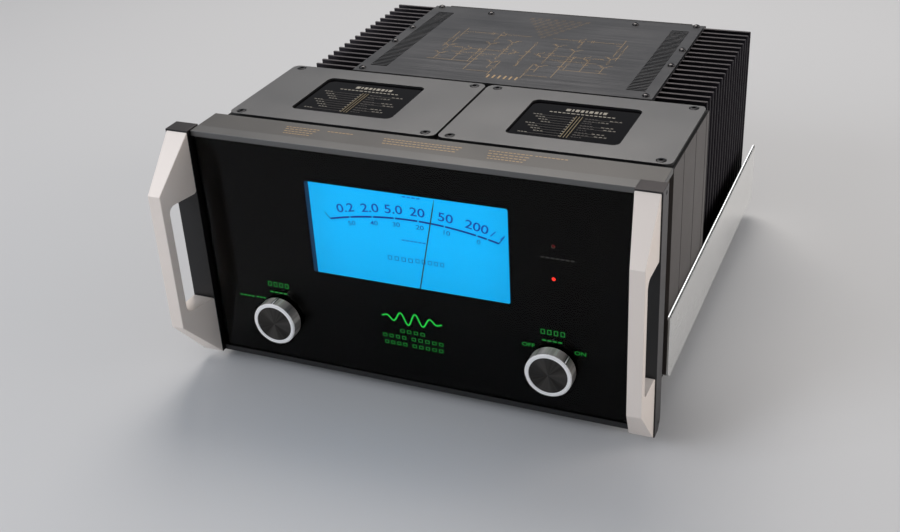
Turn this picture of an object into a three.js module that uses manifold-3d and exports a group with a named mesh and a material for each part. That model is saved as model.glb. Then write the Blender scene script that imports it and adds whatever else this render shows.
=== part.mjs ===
// Mono power amplifier with a glass front panel, a lit meter and finned heat sinks.
// Millimetres, +Z up. The front faces -Y. Heights are over the floor, and depths are
// behind the front face of the end blocks until the whole group is centred at the end.
import * as THREE from 'three';
import { mergeGeometries, mergeVertices } from 'three/addons/utils/BufferGeometryUtils.js';
import Module from 'manifold-3d';

const wasm = await Module();
wasm.setup();

// Clearances and the overrun of every cut
const gap = 0.3;
const overrun = 2;
const weldTolerance = 1e-4;

// Front panel as a whole
const panelWidth = 444.5;
const panelHeight = 228;
const panelClearance = 12;
const panelDepth = 17.8;
const panelTop = panelClearance + panelHeight;

// Handles and the end blocks that they stand on
const endWidth = 22.3;
const handleReach = 41.8;
const handleTaper = 8.7;
const gripDepth = 8.5;
const handleUpperSlope = 46;
const handleLowerSlope = 48.5;
const fingerFromTop = 59.5;
const fingerFromBottom = 60.5;
const handleFaceTop = panelTop - handleUpperSlope;
const handleFaceBottom = panelClearance + handleLowerSlope;
const fingerTop = panelTop - fingerFromTop;
const fingerBottom = panelClearance + fingerFromBottom;
const fingerCorner = 7;
const armCorner = 3;
const endChamferHeight = 8;
const endChamferDepth = 7;
const endEdge = panelWidth / 2;
const endInner = endEdge - endWidth;
const handleInset = 1.2;
const handleOuter = endEdge - handleInset;
const handleTop = panelTop - handleInset;

// Rails, glass and the black mask behind the glass
const railFront = 4.6;
const railLip = 1.3;
const topRailInset = 1.1;
const topRailTop = panelTop - topRailInset;
const railFace = 5.1;
const railLeg = 11;
const glassThickness = 3;
const glassHole = 4;
const glassSideGap = 2;
const glassTuck = 2.2;
const maskThickness = 0.8;
const glassFront = railFront + railLip + gap;
const glassBack = glassFront + glassThickness;
const maskBack = glassBack + maskThickness;

// Meter window, dial and pointer
const windowInset = 106.35;
const windowHalf = endInner - windowInset;
const windowFromTop = 36.9;
const windowFromBottom = 101.8;
const windowTop = panelTop - windowFromTop;
const windowBottom = panelClearance + windowFromBottom;
const meterWall = 2.4;
const windowCorner = 2;
const housingFlange = 5;
const meterBody = 34;
const dialRecess = 6;
const dialFront = maskBack + dialRecess;
const dialThickness = 1;
const pivotBelowWindow = 43;
const pivotHeight = windowBottom - pivotBelowWindow;
const pointerMargin = 0.6;
const pointerLength = windowTop - pivotHeight - pointerMargin;
const pointerTail = 14;
const pointerWidth = 0.9;
const pointerThickness = 0.8;
const pointerLift = 1.4;
const pointerHub = 5;
const pointerAxle = 1.5;
const pointerSocket = 6;
const pointerShoulderShare = 0.93;
const pointerAngle = 11.7;
const meterSump = 22;
const meterFloor = pivotHeight - meterSump;
const magnetRadius = 17;
const magnetDepth = 13;
const movementStep = 5;

// Status lamps over the power knob
const lampRadius = 1.6;
const lampCrown = 0.5;
const lampBoardWidth = 22;
const lampBoardDepth = 3;
const lampBoardFront = maskBack + lampBoardDepth;
const upperLampFromTop = 65;
const lampSpacing = 30.5;
const upperLampHeight = panelTop - upperLampFromTop;
const lowerLampHeight = upperLampHeight - lampSpacing;

// Knobs, shafts and switches
const knobInset = 68.05;
const knobOffset = endInner - knobInset;
const knobFromBottom = 48.9;
const knobHeight = panelClearance + knobFromBottom;
const knobRadius = 21;
const knobLength = 13;
const knobStandOff = 2.2;
const knobBack = glassFront - knobStandOff;
const knobRim = 4;
const knobChamfer = 1;
const knobDish = 0.5;
const knobSkirtInner = 17;
const knobSkirtDepth = 1.5;
const indexWidth = 1.3;
const indexDepth = 0.7;
const powerKnobAngle = 45;
const shaftRadius = 3;
const shaftReach = 21;
const bushRadius = 5;
const switchSide = 26;
const switchDepth = 24;
const switchBush = 3;
const switchBore = 6;

// Sub-panel behind the frame, and the deck over it
const sheet = 2;
const deckInset = 8.35;
const deckDepth = 48.3;
const deckDrop = 10.4;
const deckHalf = endEdge - deckInset;
const subpanelFront = panelDepth + gap;
const deckBack = subpanelFront + deckDepth;
const deckTop = panelTop - deckDrop;
const subpanelInset = 5.9;
const subpanelHalf = deckHalf - subpanelInset;
const subpanelOverhang = 2.6;
const subpanelSideBack = deckBack + subpanelOverhang;
const deckThickness = 3;
const deckLip = 5;

// Polished chassis tray
const trayInset = 7.75;
const trayGap = 6;
const trayLift = 8;
const trayHeight = 64;
const trayHalf = endEdge - trayInset;
const trayFront = subpanelSideBack + trayGap;
const trayBottom = panelClearance + trayLift;
const trayTop = trayBottom + trayHeight;
const subpanelFootReach = 17;
const subpanelFoot = trayFront + subpanelFootReach;
const trayFlange = 2.8;
const trayFloor = trayBottom + sheet;
const trayChamfer = 6;

// Feet
const footRadius = 19;
const footTaper = 3;
const footInset = 40;
const footSetBack = 43;
const footFront = trayFront + footSetBack;
const footBore = 6.5;
const footRecess = 6.5;

// Transformer cases, their cover plates and label windows
const caseGap = 10.8;
const caseLength = 130;
const caseFront = subpanelSideBack + caseGap;
const caseBack = caseFront + caseLength;
const caseInner = 1.3;
const ledgeDrop = 24;
const ledgeTop = panelTop - ledgeDrop;
const ledgeBack = caseFront - gap;
const ledgeLap = 6;
const caseOuter = trayHalf - trayFlange - gap;
const caseWall = 2.5;
const caseDrop = 17.8;
const caseTop = panelTop - caseDrop;
const caseGrooveWidth = 1.4;
const caseGrooveDepth = 0.9;
const caseGrooveShares = [0.28, 0.62, 0.925];
const coverInset = 2.1;
const coverOuter = caseOuter - coverInset;
const coverThickness = 3.5;
const coverCorner = 7;
const labelWidth = 103;
const labelDepth = 82;
const labelCorner = 6.5;
const labelShift = 0.9;
const labelSetBack = 0.85;
const labelCentreX = (caseInner + coverOuter) / 2 + labelShift;
const labelCentreY = (caseFront + caseBack) / 2 + labelSetBack;
const labelThickness = 1.6;
const coverScrewX = 10.4;
const coverScrewY = 6.7;

// Heat sinks
const finReach = 48.8;
const sinkBase = 6.3;
const sinkClearance = 11;
const finTip = trayHalf - sinkClearance;
const finStart = finTip - finReach;
const sinkInner = finStart - sinkBase;
const finThickness = 3.2;
const finTipChamfer = 0.9;
const finCount = 19;
const finSetBack = 4.1;
const sinkGap = 4.2;
const sinkDrop = 22.5;
const sinkFront = caseBack + sinkGap;
const sinkTop = panelTop - sinkDrop;

// Top cover with its vent strips
const topHalf = finStart - gap;
const topFoldHalf = sinkInner - gap;
const topSheet = 1.5;
const topGap = 0.4;
const topStepLength = 16.8;
const topLength = 233.5;
const topFront = caseBack + topGap;
const topStep = topFront + topStepLength;
const topStepDrop = 6;
const topBack = topFront + topLength;
const topDrop = 20;
const topLevel = panelTop - topDrop;
const topFlange = 12;
const ventInset = 11;
const ventWidth = 18.7;
const ventSetBack = 18;
const ventCount = 46;
const ventOuter = topHalf - ventInset;
const ventInner = ventOuter - ventWidth;
const ventFront = topStep + ventSetBack;
const ventSlot = 2.4;
const ventEnd = 20.8;
const ventPitch = (topBack - ventEnd - ventSlot - ventFront) / (ventCount - 1);

// Rear panel and what is mounted on it
const rearSetBack = 6.2;
const rearFront = topBack + rearSetBack;
const rearBack = rearFront + sheet;
const rearHalf = finStart;
const trayBehind = 6.1;
const trayBack = rearBack + trayBehind;
const finPitch = (rearFront - finSetBack - finThickness - sinkFront) / (finCount - 1);
const shelfHalf = 140;
const rearFlange = 28;
const terminalAbove = 48;
const terminalHeight = trayTop + terminalAbove;
const terminalSpacing = 32;
const terminalSteps = [-0.5, 0.5];
const terminalInset = 68.7;
const terminalCentre = terminalInset - rearHalf;
const terminalPlateHeight = 34;
const terminalPlateThickness = 4;
const terminalEdge = 17;
const terminalCollar = 8;
const terminalCollarDepth = 5;
const terminalStudRadius = 3.4;
const terminalStudLength = 27;
const terminalNutRadius = 9.5;
const terminalNutLength = 16;
const terminalFlutes = 12;
const terminalFluteRadius = 1.4;
const terminalFluteShift = 0.5;
const terminalNutStep = 1.2;
const terminalTail = 16;
const terminalBackNut = 4;
const inputFromTop = 37.5;
const inputHeight = sinkTop - inputFromTop;
const balancedX = 18;
const inputPlate = 26;
const inputPlateHeight = 31;
const inputPlateThickness = 3;
const balancedRadius = 8.3;
const balancedDepth = 16;
const balancedPin = 1.2;
const balancedPinRing = 4.2;
const balancedWall = 2.2;
const balancedGap = 1.4;
const balancedAngles = [30, 150, 270];
const latchWidth = 8;
const latchHeight = 4;
const latchProud = 2.6;
const latchBottom = 11;
const latchTravel = 1.8;
const unbalancedX = 62;
const unbalancedRadius = 4.1;
const unbalancedWall = 1.1;
const unbalancedProud = 9;
const unbalancedTail = 10;
const unbalancedFlange = 2.5;
const unbalancedPin = 1.7;
const inletInset = 58.7;
const inletX = rearHalf - inletInset;
const inletAbove = 24;
const inletHeight = trayTop + inletAbove;
const inletWidth = 50;
const inletTall = 34;
const inletFlange = 3;
const inletRim = 4;
const inletSocketCorner = 4;
const inletDepth = 22;
const inletSocketWidth = 25;
const inletSocketTall = 18;
const inletPinWidth = 2;
const inletPinTall = 5;
const inletPinSpread = 7;
const inletEarth = 3.5;
const fuseSpacing = 66;
const fuseX = inletX - fuseSpacing;
const fuseHeight = inletHeight;
const fuseRadius = 7.5;
const fuseProud = 8;
const fuseWall = 2;
const fuseHolderDepth = 22;
const fuseHolderFlange = 2.5;
const fuseSlot = 1.6;

// Parts inside the amplifier section
const capRadius = 38;
const capHeight = 118;
const capSpread = 50;
const capSetBack = 62;
const capCentre = caseBack + capSetBack;
const capEdge = 2.5;
const capTerminal = 5;
const boardThickness = 1.6;
const postRadius = 3.5;
const coreWidth = 136;
const coreDepth = 96;
const coreHeight = 124;
const coilWidth = 62;
const coilDepth = 118;
const coilHeight = 78;

// Cover screws
const coverScrewHead = 4.4;
const coverScrewShank = 2;
const coverScrewLength = 4.5;
const coverScrewSink = 2.2;
const headShare = 0.6;
const headEdgeShare = 0.55;
const headCrownShare = 0.75;
const socketShare = 0.42;
const socketDepthShare = 0.6;

// Finishes
const finishes = {
  silver: [0xd9d6d0, 0.35, 0.9],
  grey: [0x8f8f8e, 0.5, 0.7],
  darkGrey: [0x5c5c5e, 0.5, 0.7],
  steel: [0xdfe0e0, 0.16, 1],
  blackGlass: [0x0a0a0c, 0.05, 0],
  black: [0x101011, 0.6, 0],
  blackMetal: [0x17171a, 0.45, 0.6],
  blue: [0x0aa8ff, 0.6, 0],
  ink: [0x06205a, 0.5, 0],
  red: [0xff2010, 0.3, 0],
  board: [0x1f4d2e, 0.6, 0],
  rubber: [0x141414, 0.9, 0],
  gold: [0xd4a94e, 0.25, 1],
  can: [0x22304a, 0.4, 0],
  copper: [0xa8623a, 0.5, 0.6],
};

const amplifier = new THREE.Group();

// Adds one named piece with its own material
function piece(name, geometry, finish) {
  const [color, roughness, metalness] = finishes[finish];
  const material = new THREE.MeshStandardMaterial({ color, roughness, metalness });
  const mesh = new THREE.Mesh(geometry, material);
  mesh.name = name;
  amplifier.add(mesh);
}

// Keeps only the positions, so that pieces of any kind can be merged
function bare(geometry) {
  const plain = geometry.index ? geometry.toNonIndexed() : geometry.clone();
  plain.deleteAttribute('normal');
  plain.deleteAttribute('uv');
  return plain;
}

// Separate solids kept as one geometry
function several(geometries) {
  return mergeGeometries(geometries.map(bare));
}

function asSolid(geometry) {
  const merged = mergeVertices(bare(geometry), weldTolerance);
  const vertProperties = new Float32Array(merged.attributes.position.array);
  const triVerts = new Uint32Array(merged.index.array);
  return new wasm.Manifold(new wasm.Mesh({ numProp: 3, vertProperties, triVerts }));
}

function asGeometry(solid) {
  const { vertProperties, triVerts, numProp } = solid.getMesh();
  const geometry = new THREE.BufferGeometry();
  const positions = new Float32Array((vertProperties.length / numProp) * 3);
  for (let i = 0; i < positions.length / 3; i++) {
    positions.set(vertProperties.subarray(i * numProp, i * numProp + 3), i * 3);
  }
  geometry.setAttribute('position', new THREE.BufferAttribute(positions, 3));
  geometry.setIndex(new THREE.BufferAttribute(new Uint32Array(triVerts), 1));
  return geometry;
}

function cut(body, ...tools) {
  const solid = tools.reduce((left, tool) => left.subtract(asSolid(tool)), asSolid(body));
  return asGeometry(solid);
}

function join(...bodies) {
  const [first, ...rest] = bodies.map(asSolid);
  return asGeometry(rest.reduce((left, right) => left.add(right), first));
}

function common(a, b) {
  return asGeometry(asSolid(a).intersect(asSolid(b)));
}

// A block between two corners
function block(x0, x1, y0, y1, z0, z1) {
  const geometry = new THREE.BoxGeometry(x1 - x0, y1 - y0, z1 - z0);
  return geometry.translate((x0 + x1) / 2, (y0 + y1) / 2, (z0 + z1) / 2);
}

function outline(points) {
  return new THREE.Shape(points.map(([a, b]) => new THREE.Vector2(a, b)));
}

function rectangle(a0, a1, b0, b1) {
  return outline([[a0, b0], [a1, b0], [a1, b1], [a0, b1]]);
}

function roundedRectangle(a0, a1, b0, b1, r, Kind = THREE.Shape) {
  const shape = new Kind();
  shape.moveTo(a0 + r, b0);
  shape.lineTo(a1 - r, b0);
  shape.absarc(a1 - r, b0 + r, r, -Math.PI / 2, 0, false);
  shape.lineTo(a1, b1 - r);
  shape.absarc(a1 - r, b1 - r, r, 0, Math.PI / 2, false);
  shape.lineTo(a0 + r, b1);
  shape.absarc(a0 + r, b1 - r, r, Math.PI / 2, Math.PI, false);
  shape.lineTo(a0, b0 + r);
  shape.absarc(a0 + r, b0 + r, r, Math.PI, Math.PI * 1.5, false);
  return shape;
}

function circleHole(a, b, r) {
  return new THREE.Path().absarc(a, b, r, 0, Math.PI * 2, true);
}

const extrude = (shape, depth, curveSegments = 6) =>
  new THREE.ExtrudeGeometry(shape, { depth, curveSegments, bevelEnabled: false });

// A shape drawn in x and y, standing from z0 to z1
const standing = (shape, z0, z1, segments) => extrude(shape, z1 - z0, segments).translate(0, 0, z0);

// A shape drawn in y and z, running from x0 to x1
function lengthwise(shape, x0, x1, segments) {
  const turn = new THREE.Matrix4().makeBasis(
    new THREE.Vector3(0, 1, 0), new THREE.Vector3(0, 0, 1), new THREE.Vector3(1, 0, 0));
  return extrude(shape, x1 - x0, segments).applyMatrix4(turn).translate(x0, 0, 0);
}

// A shape drawn in x and z, going back from y0 to y1
function backwards(shape, y0, y1, segments) {
  const turn = new THREE.Matrix4().makeBasis(
    new THREE.Vector3(1, 0, 0), new THREE.Vector3(0, 0, 1), new THREE.Vector3(0, -1, 0));
  return extrude(shape, y1 - y0, segments).applyMatrix4(turn).translate(0, y1, 0);
}

// A profile of [radius, height] turned about the vertical
function turned(profile, segments = 24) {
  const points = profile.map(([r, h]) => new THREE.Vector2(r, h));
  return new THREE.LatheGeometry(points, segments).rotateX(Math.PI / 2);
}

// The same profile with its heights pointing to the front
const turnedForward = (profile, segments) => turned(profile, segments).rotateX(Math.PI / 2);

// The same profile with its heights pointing to the back
const turnedBack = (profile, segments) => turned(profile, segments).rotateX(-Math.PI / 2);

function cylinder(radius, height, segments = 20) {
  return turned([[0, 0], [radius, 0], [radius, height], [0, height]], segments);
}

// A round rod that starts at the origin and runs to the back
const rod = (radius, length, segments) => cylinder(radius, length, segments).rotateX(-Math.PI / 2);

// The left-hand twin of a right-hand piece
function mirrored(geometry) {
  const twin = bare(geometry).scale(-1, 1, 1);
  const p = twin.attributes.position;
  for (let i = 0; i < p.count; i += 3) {
    const [x, y, z] = [p.getX(i), p.getY(i), p.getZ(i)];
    p.setXYZ(i, p.getX(i + 1), p.getY(i + 1), p.getZ(i + 1));
    p.setXYZ(i + 1, x, y, z);
  }
  return twin;
}

// How high a screw head of the given radius is
const headHeight = (head) => head * headShare;

// A socket screw with its head's top at the origin and its shank down
function screw(head, shank, length) {
  const height = headHeight(head);
  const body = turned([
    [0, -height - length],
    [shank, -height - length],
    [shank, -height],
    [head, -height],
    [head, -height * headEdgeShare],
    [head * headCrownShare, 0],
    [0, 0],
  ], 14);
  const depth = height * socketDepthShare;
  const hexagon = turned([
    [0, -depth],
    [head * socketShare, -depth],
    [head * socketShare, overrun],
    [0, overrun],
  ], 6);
  return cut(body, hexagon);
}

// The space that such a screw needs, with the head's top at the origin
function screwHole(head, shank, length) {
  const height = headHeight(head);
  return turned([
    [0, -height - length - gap],
    [shank + gap, -height - length - gap],
    [shank + gap, -height],
    [head + gap, -height],
    [head + gap, overrun],
    [0, overrun],
  ], 14);
}

const both = [-1, 1];

// A geometry moved and, if asked, turned first
const at = (geometry, x, y, z) => geometry.translate(x, y, z);

const degrees = (angle) => (angle * Math.PI) / 180;

// Handle: a solid bent strap, set in a little from the block's top and outer side, with the
// finger opening cut through it and a tapered inner side
function handle() {
  const side = outline([
    [0, panelClearance],
    [0, handleTop],
    [-handleReach, handleFaceTop],
    [-handleReach, handleFaceBottom],
  ]);
  const fingers = new THREE.Path();
  fingers.moveTo(0, fingerBottom - armCorner);
  fingers.lineTo(0, fingerTop + armCorner);
  fingers.absarc(-armCorner, fingerTop + armCorner, armCorner, 0, -Math.PI / 2, true);
  const bar = gripDepth - handleReach;
  fingers.lineTo(bar + fingerCorner, fingerTop);
  const centre = bar + fingerCorner;
  fingers.absarc(centre, fingerTop - fingerCorner, fingerCorner, Math.PI / 2, Math.PI, false);
  fingers.lineTo(bar, fingerBottom + fingerCorner);
  fingers.absarc(centre, fingerBottom + fingerCorner, fingerCorner, Math.PI, Math.PI * 1.5, false);
  fingers.absarc(-armCorner, fingerBottom - armCorner, armCorner, Math.PI / 2, 0, true);
  const blank = lengthwise(side, endInner, handleOuter);
  const opening = new THREE.Shape(fingers.getPoints(6));
  const fingerGap = lengthwise(opening, endInner - overrun, endEdge + overrun);
  const taper = outline([
    [endInner, 0],
    [handleOuter, 0],
    [handleOuter, -handleReach],
    [endInner + handleTaper, -handleReach],
  ]);
  return common(cut(blank, fingerGap), standing(taper, panelClearance, panelTop));
}

function endBlock() {
  const side = outline([
    [0, panelClearance],
    [panelDepth - endChamferDepth, panelClearance],
    [panelDepth, panelClearance + endChamferHeight],
    [panelDepth, panelTop],
    [0, panelTop],
  ]);
  return lengthwise(side, endInner, endEdge);
}

// A channel along the top or the bottom edge of the glass, with its lip in front
function rail(edge, inward) {
  const half = endInner - gap;
  const profile = outline([
    [railFront, edge + inward * railFace],
    [railFront, edge],
    [panelDepth, edge],
    [panelDepth, edge + inward * railLeg],
    [panelDepth - sheet, edge + inward * railLeg],
    [panelDepth - sheet, edge + inward * sheet],
    [railFront + railLip, edge + inward * sheet],
    [railFront + railLip, edge + inward * railFace],
  ]);
  return lengthwise(profile, -half, half);
}

const glassHalf = endInner - glassSideGap;
const glassBottom = panelClearance + railFace - glassTuck;
const glassTop = topRailTop - railFace + glassTuck;

function frontGlass() {
  const face = rectangle(-glassHalf, glassHalf, glassBottom, glassTop);
  face.holes = both.map((side) => circleHole(side * knobOffset, knobHeight, glassHole));
  return backwards(face, glassFront, glassBack);
}

// Opaque sheet behind the glass, open at the meter, the shafts and the lamps
function glassMask() {
  const face = rectangle(-glassHalf, glassHalf, glassBottom, glassTop);
  const lampHeights = [upperLampHeight, lowerLampHeight];
  const lamps = lampHeights.map((z) => circleHole(knobOffset, z, lampRadius + gap));
  const shafts = both.map((side) => circleHole(side * knobOffset, knobHeight, glassHole));
  const meter = roundedRectangle(
    -windowHalf, windowHalf, windowBottom, windowTop, windowCorner, THREE.Path);
  face.holes = [meter, ...shafts, ...lamps];
  return backwards(face, glassBack, maskBack);
}

const housingFront = maskBack + gap;
const housingBack = housingFront + meterBody;
const housingHalf = windowHalf + meterWall;

// Deep tray of the meter, screwed to the front of the sub-panel by its flange
function meterHousing() {
  const top = windowTop + meterWall;
  const bottom = meterFloor - meterWall;
  const body = block(-housingHalf, housingHalf, housingFront, housingBack, bottom, top);
  const hollow = block(
    -windowHalf, windowHalf,
    housingFront - overrun, housingBack - meterWall,
    meterFloor, windowTop);
  const flange = block(
    -housingHalf - housingFlange, housingHalf + housingFlange,
    subpanelFront - sheet, subpanelFront,
    bottom - housingFlange, top + housingFlange);
  return cut(join(body, flange), hollow);
}

const dialHalf = windowHalf - gap;

function meterDial() {
  const face = rectangle(-dialHalf, dialHalf, meterFloor, windowTop - gap);
  face.holes = [circleHole(0, pivotHeight, pointerAxle + overrun)];
  return backwards(face, dialFront, dialFront + dialThickness);
}

// Magnet system behind the dial, standing on the back of the housing
function meterMovement() {
  const start = dialFront + dialThickness;
  const back = housingBack - meterWall;
  const length = back - start;
  const profile = [
    [0, pointerSocket],
    [pointerAxle + gap, pointerSocket],
    [pointerAxle + gap, 0],
    [magnetRadius, 0],
    [magnetRadius, magnetDepth],
    [magnetRadius - movementStep, magnetDepth],
    [magnetRadius - movementStep, length],
    [0, length],
  ];
  return at(turnedBack(profile, 24), 0, start, pivotHeight);
}

// Needle with its hub and tail, and the axle that reaches into the movement
function meterPointer() {
  const back = dialFront - pointerLift;
  const front = back - pointerThickness;
  const half = pointerWidth / 2;
  const needle = outline([
    [-half, -pointerTail],
    [half, -pointerTail],
    [half, pointerLength * pointerShoulderShare],
    [0, pointerLength],
    [-half, pointerLength * pointerShoulderShare],
  ]);
  const blade = backwards(needle, front, back);
  const hub = at(rod(pointerHub, pointerThickness), 0, front, 0);
  const reach = pointerThickness + pointerLift + dialThickness + pointerSocket - gap;
  const axle = at(rod(pointerAxle, reach, 12), 0, front, 0);
  const pointer = join(blade, hub, axle);
  pointer.rotateY(degrees(pointerAngle));
  return at(pointer, 0, 0, pivotHeight);
}

// Small board with two posts that stand on the sub-panel
function lampBoard() {
  const half = lampBoardWidth / 2;
  const bottom = lowerLampHeight - half;
  const top = upperLampHeight + half;
  const back = lampBoardFront + boardThickness;
  const board = block(knobOffset - half, knobOffset + half, lampBoardFront, back, bottom, top);
  const posts = [bottom + postRadius, top - postRadius].map((z) =>
    at(rod(postRadius, subpanelFront - back, 12), knobOffset, back, z));
  return join(board, ...posts);
}

function statusLamp(z) {
  const start = glassBack + gap;
  const length = lampBoardFront - start;
  const lamp = turnedBack([
    [0, 0],
    [lampRadius - lampCrown, 0],
    [lampRadius, lampCrown],
    [lampRadius, length],
    [0, length],
  ], 14);
  return at(lamp, knobOffset, start, z);
}

// Turned knob with a polished edge, a sunken face and an index line along its side, and its
// shaft, which goes through the glass into the switch
function knob(angle) {
  const face = knobRadius - knobRim;
  const body = turnedForward([
    [0, 0],
    [knobSkirtInner, 0],
    [knobSkirtInner, -knobSkirtDepth],
    [knobRadius - knobChamfer / 2, -knobSkirtDepth],
    [knobRadius, knobChamfer / 2 - knobSkirtDepth],
    [knobRadius, knobLength - knobSkirtDepth - knobChamfer],
    [knobRadius - knobChamfer, knobLength - knobSkirtDepth],
    [face, knobLength - knobSkirtDepth],
    [face - knobDish, knobLength - knobSkirtDepth - knobDish],
    [0, knobLength - knobSkirtDepth - knobDish],
  ], 48);
  const shaft = rod(shaftRadius, shaftReach, 16);
  const line = block(
    -indexWidth / 2, indexWidth / 2,
    -knobLength - overrun, knobSkirtDepth + overrun,
    knobRadius - indexDepth, knobRadius + overrun);
  const whole = cut(join(body, shaft), line).rotateY(degrees(angle));
  return at(whole, 0, knobBack - knobSkirtDepth, knobHeight);
}

const subpanelBack = subpanelFront + sheet;

// Rotary switch: a box behind the sub-panel with its threaded bush coming forward
function rotarySwitch() {
  const half = switchSide / 2;
  const body = block(-half, half, subpanelBack, subpanelBack + switchDepth, -half, half);
  const bushLength = sheet + switchBush;
  const bush = at(rod(bushRadius, bushLength + overrun), 0, subpanelBack - bushLength, 0);
  const boreLength = bushLength + overrun + switchBore;
  const bore = at(rod(shaftRadius + gap, boreLength, 16), 0, subpanelBack - bushLength - overrun, 0);
  return at(cut(join(body, bush), bore), 0, 0, knobHeight);
}

// Folded sheet box that carries the meter, the switches and the deck, whose foot goes under
// the chassis tray, and whose ledge and side strips close the space in front of the cases
function frontSubpanel() {
  const inner = subpanelHalf - sheet;
  const walls = outline([
    [-subpanelHalf, subpanelFront],
    [subpanelHalf, subpanelFront],
    [subpanelHalf, subpanelSideBack],
    [inner, subpanelSideBack],
    [inner, subpanelBack],
    [-inner, subpanelBack],
    [-inner, subpanelSideBack],
    [-subpanelHalf, subpanelSideBack],
  ]);
  const shell = standing(walls, trayBottom - sheet, deckTop - deckThickness);
  const foot = block(
    -subpanelHalf, subpanelHalf,
    subpanelFront, subpanelFoot,
    trayBottom - sheet, trayBottom);
  const ledge = block(
    -subpanelHalf, subpanelHalf,
    subpanelBack - overrun / 2, ledgeBack,
    ledgeTop - sheet, ledgeTop);
  const strips = [[-subpanelHalf, -inner], [inner, subpanelHalf]].map((sides) =>
    block(...sides, subpanelSideBack - ledgeLap, ledgeBack, trayFloor + gap, ledgeTop));
  const bushHole = () => rod(bushRadius + gap, sheet + overrun * 2);
  const holes = both.map((side) =>
    at(bushHole(), side * knobOffset, subpanelFront - overrun, knobHeight));
  const window = block(
    -housingHalf - gap, housingHalf + gap,
    subpanelFront - overrun, subpanelBack + overrun,
    meterFloor - meterWall - gap, windowTop + meterWall + gap);
  return cut(join(shell, foot, ledge, ...strips), window, ...holes);
}

// Deck over the front box, with its edges folded down
function frontDeck() {
  const profile = outline([
    [-deckHalf, deckTop - deckLip],
    [-deckHalf + sheet, deckTop - deckLip],
    [-deckHalf + sheet, deckTop - deckThickness],
    [deckHalf - sheet, deckTop - deckThickness],
    [deckHalf - sheet, deckTop - deckLip],
    [deckHalf, deckTop - deckLip],
    [deckHalf, deckTop],
    [-deckHalf, deckTop],
  ]);
  return backwards(profile, subpanelFront, deckBack);
}

const footPlaces = () => {
  const x = trayHalf - footInset;
  return [[-x, footFront], [x, footFront], [-x, trayBack - footInset], [x, trayBack - footInset]];
};

// Polished tray: floor, two sides and the narrow flanges turned in at their tops
function chassisTray() {
  const inner = trayHalf - sheet;
  const flange = trayHalf - trayFlange;
  const profile = outline([
    [-trayHalf, trayBottom],
    [trayHalf, trayBottom],
    [trayHalf, trayTop],
    [flange, trayTop],
    [flange, trayTop - sheet],
    [inner, trayTop - sheet],
    [inner, trayFloor],
    [-inner, trayFloor],
    [-inner, trayTop - sheet],
    [-flange, trayTop - sheet],
    [-flange, trayTop],
    [-trayHalf, trayTop],
  ]);
  const cornerCut = lengthwise(outline([
    [trayFront - overrun, trayBottom - overrun],
    [trayFront + trayChamfer, trayBottom - overrun],
    [trayFront + trayChamfer, trayBottom],
    [trayFront, trayBottom + trayChamfer],
    [trayFront - overrun, trayBottom + trayChamfer],
  ]), -trayHalf - overrun, trayHalf + overrun);
  return cut(backwards(profile, trayFront, trayBack), cornerCut);
}

// Rubber foot with the recess of its screw from below
function foot() {
  return turned([
    [0, footRecess],
    [footBore, footRecess],
    [footBore, 0],
    [footRadius - footTaper, 0],
    [footRadius, footTaper],
    [footRadius, trayBottom],
    [0, trayBottom],
  ], 20);
}

// Transformer case: a sleeve closed at the top, with narrow grooves down its outer side
function transformerCase() {
  const shell = block(caseInner, caseOuter, caseFront, caseBack, trayFloor, caseTop);
  const hollow = block(
    caseInner + caseWall, caseOuter - caseWall,
    caseFront + caseWall, caseBack - caseWall,
    trayFloor - overrun, caseTop - caseWall);
  const grooves = caseGrooveShares.map((share) => {
    const y = caseFront + share * (caseBack - caseFront);
    return block(
      caseOuter - caseGrooveDepth, caseOuter + overrun,
      y - caseGrooveWidth / 2, y + caseGrooveWidth / 2,
      trayFloor - overrun, caseTop + overrun);
  });
  const holes = coverScrewPlaces().map(([x, y]) =>
    at(cylinder(coverScrewShank + gap, caseWall + overrun * 2, 14), x, y, caseTop - caseWall - overrun));
  return cut(shell, hollow, ...grooves, ...holes);
}

const coverTop = caseTop + coverThickness;

function coverScrewPlaces() {
  const across = [caseInner + coverScrewX, coverOuter - coverScrewX];
  const along = [caseFront + coverScrewY, caseBack - coverScrewY];
  return across.flatMap((x) => along.map((y) => [x, y]));
}

// One cover screw, or its hole, sunk into the cover plate
function coverFastening(kind, x, y) {
  const top = coverTop - coverScrewSink + headHeight(coverScrewHead);
  return at(kind(coverScrewHead, coverScrewShank, coverScrewLength), x, y, top);
}

// Thick plate on the case, open where the label lies
function transformerCover() {
  const plate = roundedRectangle(caseInner, coverOuter, caseFront, caseBack, coverCorner);
  plate.holes = [roundedRectangle(...labelSides(0), labelCorner, THREE.Path)];
  const holes = coverScrewPlaces().map(([x, y]) => coverFastening(screwHole, x, y));
  return cut(standing(plate, caseTop, coverTop), ...holes);
}

// The four sides of the label window, drawn in by a margin
function labelSides(margin) {
  return [
    labelCentreX - labelWidth / 2 + margin,
    labelCentreX + labelWidth / 2 - margin,
    labelCentreY - labelDepth / 2 + margin,
    labelCentreY + labelDepth / 2 - margin,
  ];
}

function labelPlate() {
  const plate = roundedRectangle(...labelSides(gap), labelCorner - gap);
  return standing(plate, caseTop, caseTop + labelThickness);
}

// Laminated core with its winding through the middle
function transformer() {
  const centreX = (caseInner + caseOuter) / 2;
  const centreY = (caseFront + caseBack) / 2;
  const core = block(
    centreX - coreWidth / 2, centreX + coreWidth / 2,
    centreY - coreDepth / 2, centreY + coreDepth / 2,
    trayFloor, trayFloor + coreHeight);
  const middle = trayFloor + coreHeight / 2;
  const coil = block(
    centreX - coilWidth / 2, centreX + coilWidth / 2,
    centreY - coilDepth / 2, centreY + coilDepth / 2,
    middle - coilHeight / 2, middle + coilHeight / 2);
  return join(core, coil);
}

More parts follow.
